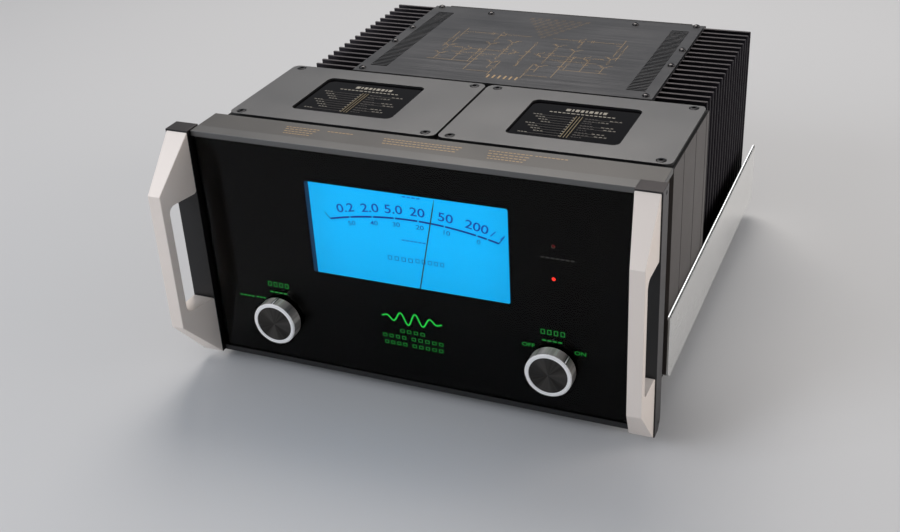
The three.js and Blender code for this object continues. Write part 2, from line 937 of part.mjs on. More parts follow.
// Extruded heat sink: a thick base with plain fins that point outwards
function heatSink() {
  const points = [[sinkInner, sinkFront], [sinkInner, rearFront], [finStart, rearFront]];
  for (let i = finCount - 1; i >= 0; i--) {
    const start = sinkFront + i * finPitch;
    const end = start + finThickness;
    points.push(
      [finStart, end],
      [finTip - finTipChamfer, end],
      [finTip, end - finTipChamfer],
      [finTip, start + finTipChamfer],
      [finTip - finTipChamfer, start]);
    if (i > 0) {
      points.push([finStart, start]);
    }
  }
  points.push([finStart, sinkFront]);
  return standing(outline(points), trayFloor, sinkTop);
}

// Vent slots of the top cover on one side
function ventSlots() {
  const slots = [];
  for (let i = 0; i < ventCount; i++) {
    const y = ventFront + i * ventPitch;
    slots.push([y, y + ventSlot]);
  }
  return slots;
}

// Folded cover with a lower front step between the heat sinks, a plate that lies over their
// bases, and a strip of vent slots along each side
function topCover() {
  const step = topLevel - topStepDrop;
  const profile = outline([
    [topFront, step],
    [topStep, step],
    [topStep, topLevel],
    [topBack, topLevel],
    [topBack, topLevel - topSheet],
    [topStep + topSheet, topLevel - topSheet],
    [topStep + topSheet, step - topSheet],
    [topFront, step - topSheet],
  ]);
  const skin = lengthwise(profile, -topFoldHalf, topFoldHalf);
  const plate = block(-topHalf, topHalf, topStep, topBack, topLevel - topSheet, topLevel);
  const fold = topFoldHalf - topSheet;
  const sides = [[-topFoldHalf, -fold], [fold, topFoldHalf]];
  const flanges = sides.map((edges) =>
    block(...edges, topFront, topBack, topLevel - topFlange, step - topSheet / 2));
  const cheeks = sides.map((edges) =>
    block(...edges, topStep, topBack, topLevel - topFlange, topLevel - topSheet / 2));
  const slots = ventSlots().flatMap(([y0, y1]) => [
    block(ventInner, ventOuter, y0, y1, topLevel - topSheet - overrun, topLevel + overrun),
    block(-ventOuter, -ventInner, y0, y1, topLevel - topSheet - overrun, topLevel + overrun),
  ]);
  return cut(join(skin, plate, ...flanges, ...cheeks), several(slots));
}

// Rear panel with a shelf under the back of the top cover
function rearPanel() {
  const plate = rectangle(-rearHalf, rearHalf, trayFloor, sinkTop);
  plate.holes = [
    circleHole(balancedX, inputHeight, balancedRadius + balancedWall + gap),
    circleHole(unbalancedX, inputHeight, unbalancedRadius + gap),
    circleHole(fuseX, fuseHeight, fuseRadius + fuseWall + gap),
    rectanglePath(
      inletX - inletWidth / 2 + inletRim - gap, inletX + inletWidth / 2 - inletRim + gap,
      inletHeight - inletTall / 2 + inletRim - gap, inletHeight + inletTall / 2 - inletRim + gap),
    ...terminalPlaces().map((x) => circleHole(x, terminalHeight, terminalStudRadius + gap)),
  ];
  const shelfTop = topLevel - topSheet;
  const sheetPlate = backwards(plate, rearFront, rearBack, 12);
  const raised = block(-shelfHalf, shelfHalf, rearFront, rearBack, sinkTop - sheet, shelfTop);
  const shelf = block(
    -shelfHalf, shelfHalf,
    rearFront - rearFlange, rearFront + gap,
    shelfTop - sheet, shelfTop);
  return join(sheetPlate, raised, shelf);
}

// A rectangular hole between two corners
function rectanglePath(a0, a1, b0, b1) {
  const corners = [[a0, b0], [a0, b1], [a1, b1], [a1, b0], [a0, b0]];
  return new THREE.Path(corners.map(([a, b]) => new THREE.Vector2(a, b)));
}

const terminalPlaces = () => terminalSteps.map((step) => terminalCentre + step * terminalSpacing);

// Insulating plate with a raised collar round each terminal
function terminalPlate() {
  const places = terminalPlaces();
  const face = rectangle(
    places[0] - terminalEdge, places[places.length - 1] + terminalEdge,
    terminalHeight - terminalPlateHeight / 2, terminalHeight + terminalPlateHeight / 2);
  face.holes = places.map((x) => circleHole(x, terminalHeight, terminalStudRadius + gap));
  const plate = backwards(face, rearBack, rearBack + terminalPlateThickness);
  const collar = (x) => at(turnedBack([
    [terminalStudRadius + gap, -overrun],
    [terminalCollar, -overrun],
    [terminalCollar, terminalCollarDepth],
    [terminalStudRadius + gap, terminalCollarDepth],
    [terminalStudRadius + gap, -overrun],
  ]), x, rearBack + terminalPlateThickness, terminalHeight);
  return join(plate, ...places.map(collar));
}

// Threaded stud with its nut behind the rear panel
function terminalStud(x) {
  const back = terminalPlateThickness + sheet + terminalStudLength;
  const stud = turnedBack([
    [0, -terminalTail],
    [terminalStudRadius, -terminalTail],
    [terminalStudRadius, -terminalBackNut],
    [terminalCollar, -terminalBackNut],
    [terminalCollar, 0],
    [terminalStudRadius, 0],
    [terminalStudRadius, back],
    [0, back],
  ], 16);
  return at(stud, x, rearFront, terminalHeight);
}

// Fluted nut of a speaker terminal
function terminalNut(x) {
  const start = rearBack + terminalPlateThickness + terminalCollarDepth + gap;
  const bore = terminalStudRadius + gap;
  const body = turnedBack([
    [bore, 0],
    [terminalCollar, 0],
    [terminalCollar, terminalNutStep],
    [terminalNutRadius, terminalNutStep * 2],
    [terminalNutRadius, terminalNutLength - terminalNutStep],
    [terminalNutRadius - terminalNutStep, terminalNutLength],
    [bore, terminalNutLength],
    [bore, 0],
  ], 24);
  const flutes = [];
  for (let i = 0; i < terminalFlutes; i++) {
    const angle = ((i + 0.5) * Math.PI * 2) / terminalFlutes;
    const flute = rod(terminalFluteRadius, terminalNutLength, 8);
    flutes.push(at(flute,
      (terminalNutRadius + terminalFluteShift) * Math.cos(angle),
      terminalNutStep,
      (terminalNutRadius + terminalFluteShift) * Math.sin(angle)));
  }
  return at(cut(body, several(flutes)), x, start, terminalHeight);
}

// Balanced input: a plate with a deep round socket and three contacts
function balancedInput() {
  const half = inputPlate / 2;
  const tall = inputPlateHeight / 2;
  const back = rearBack + inputPlateThickness;
  const bottom = back - balancedDepth;
  const plate = block(-half, half, rearBack, back, -tall, tall);
  const shell = at(rod(balancedRadius + balancedWall, balancedDepth, 24), 0, bottom, 0);
  const socket = at(rod(balancedRadius, balancedDepth, 24), 0, bottom + balancedWall, 0);
  const core = at(rod(balancedRadius - balancedGap, balancedDepth - balancedWall, 24), 0, bottom, 0);
  const contacts = balancedAngles.map((angle) => {
    const x = balancedPinRing * Math.cos(degrees(angle));
    const z = balancedPinRing * Math.sin(degrees(angle));
    return at(rod(balancedPin, balancedDepth, 8), x, back - balancedWall * 2, z);
  });
  const channel = block(
    -latchWidth / 2 - gap, latchWidth / 2 + gap,
    rearBack + balancedWall / 2, back + overrun,
    latchBottom - latchTravel - gap, latchBottom + latchHeight + gap);
  const whole = cut(join(cut(join(plate, shell), socket), core), channel, several(contacts));
  return at(whole, balancedX, 0, inputHeight);
}

// Release tab of the balanced input, lying in its channel
function balancedLatch() {
  const half = latchWidth / 2;
  const start = rearBack + balancedWall / 2 + gap;
  const end = rearBack + inputPlateThickness + latchProud;
  const tab = block(-half, half, start, end, latchBottom, latchBottom + latchHeight);
  return at(tab, balancedX, 0, inputHeight);
}

// Unbalanced input: a flanged barrel with the hole of its centre contact
function unbalancedInput() {
  const socket = turnedBack([
    [0, -unbalancedTail],
    [unbalancedRadius, -unbalancedTail],
    [unbalancedRadius, sheet],
    [unbalancedRadius + unbalancedFlange, sheet],
    [unbalancedRadius + unbalancedFlange, sheet + unbalancedWall],
    [unbalancedRadius, sheet + unbalancedWall],
    [unbalancedRadius, sheet + unbalancedProud],
    [unbalancedPin, sheet + unbalancedProud],
    [unbalancedPin, 0],
    [0, 0],
  ], 20);
  return at(socket, unbalancedX, rearFront, inputHeight);
}

// Mains inlet: a flanged block with a socket and three blades
function mainsInlet() {
  const half = inletWidth / 2;
  const tall = inletTall / 2;
  const back = rearBack + inletFlange;
  const flange = block(-half, half, rearBack, back, -tall, tall);
  const body = block(
    -half + inletRim, half - inletRim,
    back - inletDepth, back,
    -tall + inletRim, tall - inletRim);
  const socket = backwards(outline([
    [-inletSocketWidth / 2, -inletSocketTall / 2],
    [inletSocketWidth / 2, -inletSocketTall / 2],
    [inletSocketWidth / 2, inletSocketTall / 2 - inletSocketCorner],
    [inletSocketWidth / 2 - inletSocketCorner, inletSocketTall / 2],
    [-inletSocketWidth / 2 + inletSocketCorner, inletSocketTall / 2],
    [-inletSocketWidth / 2, inletSocketTall / 2 - inletSocketCorner],
  ]), back - inletDepth + inletFlange, back + overrun);
  const blade = (x, z) => block(
    x - inletPinWidth / 2, x + inletPinWidth / 2,
    back - inletDepth + inletFlange / 2, back - inletFlange,
    z - inletPinTall / 2, z + inletPinTall / 2);
  const low = -inletEarth / 2;
  const blades = [blade(-inletPinSpread, low), blade(0, -low), blade(inletPinSpread, low)];
  return at(join(cut(join(flange, body), socket), ...blades), inletX, 0, inletHeight);
}

// Fuse holder: a flanged tube through the rear panel
function fuseHolder() {
  const outer = fuseRadius + fuseWall;
  const holder = turnedBack([
    [0, -fuseHolderDepth],
    [outer, -fuseHolderDepth],
    [outer, sheet],
    [outer + fuseHolderFlange, sheet],
    [outer + fuseHolderFlange, sheet + fuseHolderFlange],
    [fuseRadius + gap, sheet + fuseHolderFlange],
    [fuseRadius + gap, -fuseHolderDepth + fuseWall],
    [0, -fuseHolderDepth + fuseWall],
  ], 24);
  return at(holder, fuseX, rearFront, fuseHeight);
}

// Cap that holds the fuse, turned with a coin in its slot
function fuseCap() {
  const inside = fuseHolderDepth - fuseWall - gap;
  const outside = sheet + fuseHolderFlange + fuseProud;
  const cap = turnedBack([
    [0, -inside],
    [fuseRadius, -inside],
    [fuseRadius, outside - fuseSlot],
    [fuseRadius - fuseSlot, outside],
    [0, outside],
  ], 24);
  const slot = block(
    -fuseRadius - overrun, fuseRadius + overrun,
    outside - fuseSlot, outside + overrun,
    -fuseSlot / 2, fuseSlot / 2);
  return at(cut(cap, slot), fuseX, rearFront, fuseHeight);
}

// Smoothing capacitor: a can with a rolled edge and two screw terminals
function capacitor() {
  const can = turned([
    [0, 0],
    [capRadius, 0],
    [capRadius, capHeight - capEdge],
    [capRadius - capEdge, capHeight],
    [capRadius - capEdge * 2, capHeight],
    [capRadius - capEdge * 2, capHeight - capEdge],
    [0, capHeight - capEdge],
  ], 24);
  const terminal = () => cylinder(capTerminal, capTerminal + overrun, 12);
  const terminals = both.map((side) =>
    at(terminal(), side * capRadius / 2, 0, capHeight - capEdge - overrun));
  return at(join(can, ...terminals), capSpread, capCentre, trayFloor);
}

// A right-hand piece and its left-hand twin
function pair(name, geometry, finish) {
  piece(`right_${name}`, geometry, finish);
  piece(`left_${name}`, mirrored(geometry), finish);
}

pair('end_block', endBlock(), 'darkGrey');
pair('handle', handle(), 'silver');
piece('top_rail', rail(topRailTop, -1), 'grey');
piece('bottom_rail', rail(panelClearance, 1), 'grey');
piece('front_glass', frontGlass(), 'blackGlass');
piece('glass_mask', glassMask(), 'black');
piece('meter_housing', meterHousing(), 'ink');
piece('meter_dial', meterDial(), 'blue');
piece('meter_movement', meterMovement(), 'blackMetal');
piece('meter_pointer', meterPointer(), 'black');
piece('lamp_board', lampBoard(), 'board');
piece('upper_lamp', statusLamp(upperLampHeight), 'red');
piece('lower_lamp', statusLamp(lowerLampHeight), 'red');
piece('meter_knob', at(knob(0), -knobOffset, 0, 0), 'blackMetal');
piece('power_knob', at(knob(powerKnobAngle), knobOffset, 0, 0), 'blackMetal');
piece('meter_switch', at(rotarySwitch(), -knobOffset, 0, 0), 'black');
piece('power_switch', at(rotarySwitch(), knobOffset, 0, 0), 'black');
piece('front_subpanel', frontSubpanel(), 'blackMetal');
piece('front_deck', frontDeck(), 'grey');
piece('chassis_tray', chassisTray(), 'steel');
const footNames = ['front_left_foot', 'front_right_foot', 'back_left_foot', 'back_right_foot'];
footPlaces().forEach(([x, y], i) => piece(footNames[i], at(foot(), x, y, 0), 'rubber'));
pair('transformer_case', transformerCase(), 'darkGrey');
pair('transformer_cover', transformerCover(), 'black');
pair('label', labelPlate(), 'blackGlass');
coverScrewPlaces().forEach(([x, y], i) => {
  pair(`cover_screw_${i + 1}`, coverFastening(screw, x, y), 'blackMetal');
});
piece('output_autoformer', transformer(), 'copper');
piece('power_transformer', mirrored(transformer()), 'copper');
pair('heat_sink', heatSink(), 'blackMetal');
pair('capacitor', capacitor(), 'can');
piece('top_cover', topCover(), 'blackMetal');
piece('rear_panel', rearPanel(), 'blackMetal');
piece('terminal_plate', terminalPlate(), 'black');
const terminalNames = ['positive', 'negative'];
terminalPlaces().forEach((x, i) => {
  piece(`${terminalNames[i]}_stud`, terminalStud(x), 'gold');
  piece(`${terminalNames[i]}_nut`, terminalNut(x), 'gold');
});
piece('balanced_input', balancedInput(), 'black');
piece('balanced_latch', balancedLatch(), 'silver');
piece('unbalanced_input', unbalancedInput(), 'gold');
piece('mains_inlet', mainsInlet(), 'black');
piece('fuse_holder', fuseHolder(), 'black');
piece('fuse_cap', fuseCap(), 'black');

// Puts the middle of the overall depth at the origin
const bounds = new THREE.Box3().setFromObject(amplifier);
const middle = bounds.getCenter(new THREE.Vector3());
amplifier.children.forEach((mesh) => mesh.geometry.translate(-middle.x, -middle.y, -bounds.min.z));

export default amplifier;
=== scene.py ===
"""A mono power amplifier with a black glass front, a lit meter, silver handles and finned heat sinks."""
import math

import bmesh
import bpy
from mathutils import Matrix, Vector


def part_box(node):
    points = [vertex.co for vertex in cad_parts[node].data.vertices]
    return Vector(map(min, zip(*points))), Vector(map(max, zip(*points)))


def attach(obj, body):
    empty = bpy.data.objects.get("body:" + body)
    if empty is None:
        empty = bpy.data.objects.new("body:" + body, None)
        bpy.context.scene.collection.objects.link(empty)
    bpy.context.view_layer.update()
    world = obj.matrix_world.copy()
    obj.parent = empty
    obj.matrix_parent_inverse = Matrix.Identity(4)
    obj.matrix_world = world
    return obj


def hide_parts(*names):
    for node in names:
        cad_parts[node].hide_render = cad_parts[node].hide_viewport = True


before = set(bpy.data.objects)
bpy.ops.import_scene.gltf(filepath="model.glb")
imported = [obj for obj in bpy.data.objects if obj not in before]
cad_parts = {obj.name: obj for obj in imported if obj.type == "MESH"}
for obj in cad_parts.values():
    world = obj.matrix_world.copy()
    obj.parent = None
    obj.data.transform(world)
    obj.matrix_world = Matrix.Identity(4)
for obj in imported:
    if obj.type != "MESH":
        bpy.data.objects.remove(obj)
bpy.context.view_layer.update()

# The camera stands where a fit to the photograph puts it, with the lens that the fit gives.
# It is turned round the object, raised above the level and rolled a little.
camera_place = (0.4159, -1.03936, 0.64704)
camera_azimuth = math.radians(24.43)
camera_height = math.radians(29.08)
camera_roll = math.radians(-3.35)
back = Vector((
    math.sin(camera_azimuth) * math.cos(camera_height),
    -math.cos(camera_azimuth) * math.cos(camera_height),
    math.sin(camera_height)))
level = Vector((0, 0, 1)).cross(back).normalized()
upright = back.cross(level)
right = math.cos(camera_roll) * level + math.sin(camera_roll) * upright
above = math.cos(camera_roll) * upright - math.sin(camera_roll) * level
camera_data = bpy.data.cameras.new("camera")
camera_data.lens = 49.27
camera_data.sensor_width = 36
camera = bpy.data.objects.new("camera", camera_data)
camera_turn = Matrix((right, above, back)).transposed().to_4x4()
camera.matrix_world = Matrix.Translation(camera_place) @ camera_turn
bpy.context.collection.objects.link(camera)
bpy.context.scene.camera = camera
bpy.context.scene.view_settings.view_transform = "Standard"

# The studio: a pale floor, a pale room, and large soft lamps above, at the right, in front,
# and behind at the right, where a low one draws a line of light on the edge of the tray.


def linear(code):
    """An sRGB hex colour as linear red, green, blue and alpha."""
    parts = [int(code[i:i + 2], 16) / 255 for i in (1, 3, 5)]
    return [c / 12.92 if c <= 0.04045 else ((c + 0.055) / 1.055) ** 2.4 for c in parts] + [1]


def add(tree, kind, settings=(), **inputs):
    """A shader node with its settings, and its sockets set or linked. An underscore stands for a space."""
    node = tree.nodes.new(kind)
    for name, value in dict(settings).items():
        setattr(node, name, value)
    for name, value in inputs.items():
        name = name.replace("_", " ")
        socket = next(s for s in node.inputs if s.name == name and s.enabled)
        if isinstance(value, bpy.types.NodeSocket):
            tree.links.new(value, socket)
        else:
            socket.default_value = value
    return node


def new_material(name):
    """An empty material: its node tree and its output."""
    material = bpy.data.materials.new(name)
    material.use_nodes = True
    material.node_tree.nodes.clear()
    return material, material.node_tree, material.node_tree.nodes.new("ShaderNodeOutputMaterial")


material, tree, output = new_material("pale floor paint")
shader = add(tree, "ShaderNodeBsdfPrincipled", Base_Color=linear("#D5D6D8"), Roughness=0.75)
tree.links.new(shader.outputs[0], output.inputs[0])
floor_half = 6.0
floor_data = bpy.data.meshes.new("floor")
floor_corners = [(x * floor_half, y * floor_half, 0) for x, y in ((-1, -1), (1, -1), (1, 1), (-1, 1))]
floor_data.from_pydata(floor_corners, [], [(0, 1, 2, 3)])
floor_data.materials.append(material)
floor = bpy.data.objects.new("floor", floor_data)
bpy.context.collection.objects.link(floor)

world = bpy.data.worlds.new("room")
world.use_nodes = True
bpy.context.scene.world = world
world.node_tree.nodes["Background"].inputs["Color"].default_value = linear("#DADDE2")
world.node_tree.nodes["Background"].inputs["Strength"].default_value = 0.42


def softbox(name, place, aim, size, power, colour):
    """A square area lamp at one point, turned towards another."""
    data = bpy.data.lights.new(name, "AREA")
    data.size = size
    data.energy = power
    data.color = linear(colour)[:3]
    lamp = bpy.data.objects.new(name, data)
    place, aim = Vector(place), Vector(aim)
    lamp.matrix_world = Matrix.Translation(place) @ (place - aim).to_track_quat("Z", "Y").to_matrix().to_4x4()
    bpy.context.collection.objects.link(lamp)


softbox("key lamp", (-0.5, 1.2, 2.1), (0, 0, 0.15), 1.3, 26, "#FFF8F0")
softbox("right lamp", (2.2, 0.3, 0.9), (0.1, 0, 0.1), 1.2, 13, "#FFF4EA")
softbox("front lamp", (-1.3, -1.9, 1.5), (0, -0.2, 0.1), 1.2, 21, "#F4F8FF")
softbox("back lamp", (1.35, 2.24, 0.54), (0.2, 0, 0.1), 1.0, 5, "#FFFFFF")

# The two end blocks of the front: bars of aluminium, sawn and milled, anodised dark grey,
# with a front painted near black, a painted shadow that shows round the handle as a thin dark line.
# Each carries a small socket screw near both ends of its outer side.


def metal(name, colour, rough, grain, depth=0.25, spread=0.07, shade=0.08, metallic=1.0, streaks=0.6):
    """Metal or paint with a fine grain, whose size is given in millimetres, or one for X, Y and Z each.
    The real grain, of a tenth of a millimetre or less, is drawn coarser, so that it still shows.
    It counts as much as streaks says beside a broad, soft cloudiness."""
    cloud_size = 70
    relief = 0.00005
    sizes = grain if isinstance(grain, tuple) else (grain, grain, grain)
    material, tree, output = new_material(name)
    place = add(tree, "ShaderNodeTexCoord").outputs["Object"]
    stretched = add(tree, "ShaderNodeMapping", Vector=place, Scale=[1000 / size for size in sizes])
    fine = add(tree, "ShaderNodeTexNoise", Vector=stretched.outputs[0], Scale=1.0, Detail=3.0)
    cloud = add(tree, "ShaderNodeTexNoise", Vector=place, Scale=1000 / cloud_size, Detail=3.0)
    both = add(tree, "ShaderNodeMath", {"operation": "MULTIPLY_ADD"})
    tree.links.new(fine.outputs[0], both.inputs[0])
    both.inputs[1].default_value = streaks
    middle, swing = (streaks + 1) / 2, 0.4
    tree.links.new(cloud.outputs[0], both.inputs[2])
    rough_range = add(
        tree, "ShaderNodeMapRange", Value=both.outputs[0],
        From_Min=middle - swing, From_Max=middle + swing, To_Min=rough - spread, To_Max=rough + spread)
    tone = add(
        tree, "ShaderNodeMapRange", Value=both.outputs[0],
        From_Min=middle - swing, From_Max=middle + swing, To_Min=1 - shade, To_Max=1 + shade)
    tinted = add(tree, "ShaderNodeVectorMath", {"operation": "SCALE"}, Scale=tone.outputs[0])
    tinted.inputs[0].default_value = linear(colour)[:3]
    bump = add(tree, "ShaderNodeBump", Strength=depth, Distance=relief, Height=fine.outputs[0])
    shader = add(
        tree, "ShaderNodeBsdfPrincipled", Base_Color=tinted.outputs[0], Metallic=metallic,
        Roughness=rough_range.outputs[0], Normal=bump.outputs[0])
    tree.links.new(shader.outputs[0], output.inputs[0])
    return material


def soften(piece, edge, segments=2):
    """Rounds a piece's sharp edges and keeps its flat faces flat."""
    sharp = math.radians(32)
    piece.data.set_sharp_from_angle(angle=sharp)
    rounding = piece.modifiers.new("rounded edges", "BEVEL")
    rounding.width = edge
    rounding.segments = segments
    rounding.limit_method = "ANGLE"
    rounding.angle_limit = sharp
    rounding.harden_normals = True
    return piece


def from_bmesh(name, solid, finish, body, nodes=()):
    """A named piece out of a bmesh, on its body and with its finish."""
    data = bpy.data.meshes.new(name)
    for face in solid.faces:
        face.smooth = True
    solid.to_mesh(data)
    solid.free()
    data.materials.append(finish)
    piece = bpy.data.objects.new(name, data)
    bpy.context.collection.objects.link(piece)
    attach(piece, body)
    if nodes:
        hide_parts(*nodes)
    return piece


def finer(node, finish, edge=0.0004, body="amplifier", segments=2):
    """A copy of a CAD solid with whole flat faces and rounded edges, which stands for it."""
    solid = bmesh.new()
    solid.from_mesh(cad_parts[node].data)
    bmesh.ops.remove_doubles(solid, verts=solid.verts, dist=1e-6)
    bmesh.ops.dissolve_limit(solid, angle_limit=math.radians(1), verts=solid.verts, edges=solid.edges)
    return soften(from_bmesh(node + "_fine", solid, finish, body, [node]), edge, segments)


def repaint(piece, finish, chosen):
    """Gives another finish to the faces that the test picks by normal and middle. Returns its place."""
    piece.data.materials.append(finish)
    place = len(piece.data.materials) - 1
    for face in piece.data.polygons:
        if chosen(face.normal, face.center):
            face.material_index = place
    return place


# Sawn and anodised, it is an even dark grey with a soft, wide sheen.
dark_anodised = metal("dark anodised aluminium", "#484546", 0.36, (0.4, 0.4, 3.3))
# The fronts are painted near black, a painted shadow which reads as the dark line round the handle.
painted_shadow_black = metal("near black painted shadow", "#242425", 0.5, 0.4, depth=0.2, metallic=0.3)
for node in ("left_end_block", "right_end_block"):
    block = finer(node, dark_anodised, 0.0004)
    repaint(block, painted_shadow_black, lambda normal, _: normal.y < -0.5)

# Oxide-blackened and smooth: dark, with a small glint on each edge.
screw_steel = metal("blackened steel", "#2E2E30", 0.28, 0.25, depth=0.1)


def socket_screw(name, place, axis, head, proud, finish=screw_steel):
    """A round screw head of a given radius with a six-sided socket, a little proud of its surface."""
    socket = head * 0.48
    deep = head * 0.5
    round_off = head * 0.16
    solid = bmesh.new()
    turn = Vector((0, 0, 1)).rotation_difference(Vector(axis)).to_matrix()
    sides = 36
    levels = [
        (head, -deep), (head, proud - round_off), (head * 0.95, proud - head * 0.05),
        (head - round_off, proud)]

    def ring(radius, height, six_sided=False):
        points = []
        half_side = math.pi / 6
        for i in range(sides):
            angle = 2 * math.pi * i / sides
            reach = radius
            if six_sided:
                reach = radius * math.cos(half_side) / math.cos(angle % (2 * half_side) - half_side)
            points.append(solid.verts.new(
                Vector(place) + turn @ Vector((reach * math.cos(angle), reach * math.sin(angle), height))))
        return points

    rings = [ring(radius, height) for radius, height in levels]
    rings.append(ring(socket, proud, True))
    rings.append(ring(socket, proud - deep * 0.9, True))
    for low, high in zip(rings, rings[1:]):
        for i in range(sides):
            j = (i + 1) % sides
            solid.faces.new((low[i], low[j], high[j], high[i]))
    solid.faces.new(rings[0][::-1])
    solid.faces.new(rings[-1])
    bmesh.ops.recalc_face_normals(solid, faces=solid.faces)
    piece = from_bmesh(name, solid, finish, "amplifier")
    piece.data.set_sharp_from_angle(angle=math.radians(30))
    return piece


low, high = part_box("right_end_block")
frame_screw_radius = 0.0024
frame_screw_proud = 0.0002
screw_from_front = 0.0115
screw_heights = (("upper", high.z - 0.0055), ("lower", low.z + 0.0085))
two_sides = ((-1, "left"), (1, "right"))
for side, word in two_sides:
    for label, height in screw_heights:
        socket_screw(
            f"{word}_{label}_frame_screw", (side * high.x, low.y + screw_from_front, height), (side, 0, 0),
            frame_screw_radius, frame_screw_proud)

# The handles: thick straps of aluminium, milled with a finger opening, blasted with fine
# glass beads and anodised clear, so that they are pale, even and satin.
satin_silver = metal(
    "bead blasted aluminium", "#FAF0E8", 0.5, 0.38, depth=0.18, spread=0.05, shade=0.03, metallic=0.35)
for node in ("left_handle", "right_handle"):
    finer(node, satin_silver, 0.0006, segments=3)

# The rails above and below the glass: folded aluminium channels. The upper one is brushed, so
# that its sheen is drawn out across, and the lower one takes the same near black as the end blocks' fronts.
rail_metal = metal("brushed aluminium", "#6E6E6E", 0.4, (8.3, 0.29, 0.29))
for node, finish in (("top_rail", rail_metal), ("bottom_rail", painted_shadow_black)):
    finer(node, finish, 0.0003)

# The front glass: a clear pane, printed black on its back except at the meter, the lamps
# and the lit marks, so that it looks like a black mirror.
# Its IOR is below that of plain glass, so that it mirrors no more than the real pane does.
material, tree, output = new_material("clear float glass")
shader = add(tree, "ShaderNodeBsdfPrincipled", Base_Color=linear("#FBFDFD"), Roughness=0.0, IOR=1.22)
shader.inputs["Transmission Weight"].default_value = 1.0
tree.links.new(shader.outputs[0], output.inputs[0])
finer("front_glass", material, 0.0004)
# The print is a matt ink that gives nothing back, behind the mirror of the glass.
black_print = metal("black screen print", "#020202", 0.6, 3.3, depth=0.0, metallic=0.0)
black_print.node_tree.nodes["Principled BSDF"].inputs["Specular IOR Level"].default_value = 0.0
finer("glass_mask", black_print, 0.0001)

# The meter: a dark tray, and a translucent blue dial lit evenly from behind and printed in
# thin dark blue, which the light comes through, with a blackened pointer in front of it.


def glow(name, colour, strength, base="#101010"):
    """A small light that shows its own colour."""
    material, tree, output = new_material(name)
    shader = add(
        tree, "ShaderNodeBsdfPrincipled", Base_Color=linear(base), Roughness=0.5, Specular_IOR_Level=0.1)
    shader.inputs["Emission Color"].default_value = linear(colour)
    shader.inputs["Emission Strength"].default_value = strength
    tree.links.new(shader.outputs[0], output.inputs[0])
    return material


# Moulded dark plastic, painted blue as well: painted light of the dial, which falls on it at the edge of the
# window.
dial_lit_plastic = metal("dark plastic with painted dial light", "#0B2A4A", 0.55, 1.1, depth=0.05, metallic=0.0)
finer("meter_housing", dial_lit_plastic, 0.0003)
material, tree, output = new_material("lit blue dial film")
place = add(tree, "ShaderNodeTexCoord").outputs["Object"]
split = add(tree, "ShaderNodeSeparateXYZ", Vector=place)
window_low = 0.1138
# The light is a little weaker at the foot and at the two sides of the window.
height_share = add(tree, "ShaderNodeMapRange", {"interpolation_type": "SMOOTHSTEP"}, Value=split.outputs["Z"],
                   From_Min=window_low - 0.02, From_Max=window_low + 0.05, To_Min=0.86, To_Max=1.0)
sideways = add(tree, "ShaderNodeMath", {"operation": "ABSOLUTE"})
tree.links.new(split.outputs["X"], sideways.inputs[0])
side_share = add(tree, "ShaderNodeMapRange", {"interpolation_type": "SMOOTHSTEP"}, Value=sideways.outputs[0],
                 From_Min=0.06, From_Max=0.1, To_Min=1.0, To_Max=0.88)
lit = add(tree, "ShaderNodeMath", {"operation": "MULTIPLY"})
tree.links.new(height_share.outputs[0], lit.inputs[0])
tree.links.new(side_share.outputs[0], lit.inputs[1])
shader = add(
    tree, "ShaderNodeBsdfPrincipled", Base_Color=linear("#020E1C"), Roughness=0.7, Specular_IOR_Level=0.0)
shader.inputs["Emission Color"].default_value = linear("#00B6FF")
tree.links.new(lit.outputs[0], shader.inputs["Emission Strength"])
tree.links.new(shader.outputs[0], output.inputs[0])
finer("meter_dial", material, 0.0001)
finer("meter_movement", metal("sintered magnet", "#3A3A3E", 0.5, 0.5), 0.0003)

# Translucent inks, which the light of the dial comes through: the more solid, the darker.
dial_ink = glow("dark blue dial ink", "#001C86", 1.0, "#00061C")
number_ink = glow("blue dial ink", "#003CA8", 1.0, "#00061C")
dial_ink_pale = glow("thin blue dial ink", "#0064CC", 1.0, "#00061C")


def ribbon(points, width):
    """The four-sided strips that draw a line through points of a plane."""
    strips = []
    points = [Vector(p) for p in points]
    for i, (a, b) in enumerate(zip(points, points[1:])):
        before = (a - points[i - 1]).normalized() if i else (b - a).normalized()
        after = (points[i + 2] - b).normalized() if i + 2 < len(points) else (b - a).normalized()
        run = (b - a).normalized()
        start, end = (before + run).normalized(), (run + after).normalized()
        first = Vector((-start.y, start.x)) * width / 2
        last = Vector((-end.y, end.x)) * width / 2
        strips.append((a + first, a - first, b - last, b + last))
    return strips


def drawing(name, strips, lift, finish, body):
    """Flat printed strips, put in place by a function that turns a plane point into a point in space."""
    solid = bmesh.new()
    for strip in strips:
        solid.faces.new([solid.verts.new(lift(p)) for p in strip])
    bmesh.ops.recalc_face_normals(solid, faces=solid.faces)
    return from_bmesh(name, solid, finish, body)


def lettering(name, words, height, turn, place, finish, body, heavy=0.0):
    """Flat printed numbers or letters of a given height, lying in the plane that turn gives."""
    curve = bpy.data.curves.new(name, "FONT")
    curve.body = words
    curve.size = height / 0.7
    curve.align_x = "CENTER"
    curve.align_y = "CENTER"
    curve.resolution_u = 6
    curve.offset = heavy * height
    curve.materials.append(finish)
    piece = bpy.data.objects.new(name, curve)
    piece.matrix_world = Matrix.Translation(place) @ turn
    bpy.context.collection.objects.link(piece)
    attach(piece, body)
    return piece


facing_front = Matrix.Rotation(math.radians(90), 4, "X")
dial_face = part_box("meter_dial")[0].y - 0.00008
arc_middle = 0.0041
arc_radius = 0.3180
arc_top = 0.1762
arc_half = 0.0790


def arc_height(x):
    """The height of the dial's scale line."""
    return arc_top - arc_radius + math.sqrt(arc_radius ** 2 - (x - arc_middle) ** 2)


def arc_run(start, end, steps=12):
    """Points along the scale line."""
    return [(x, arc_height(x)) for x in (start + (end - start) * i / steps for i in range(steps + 1))]


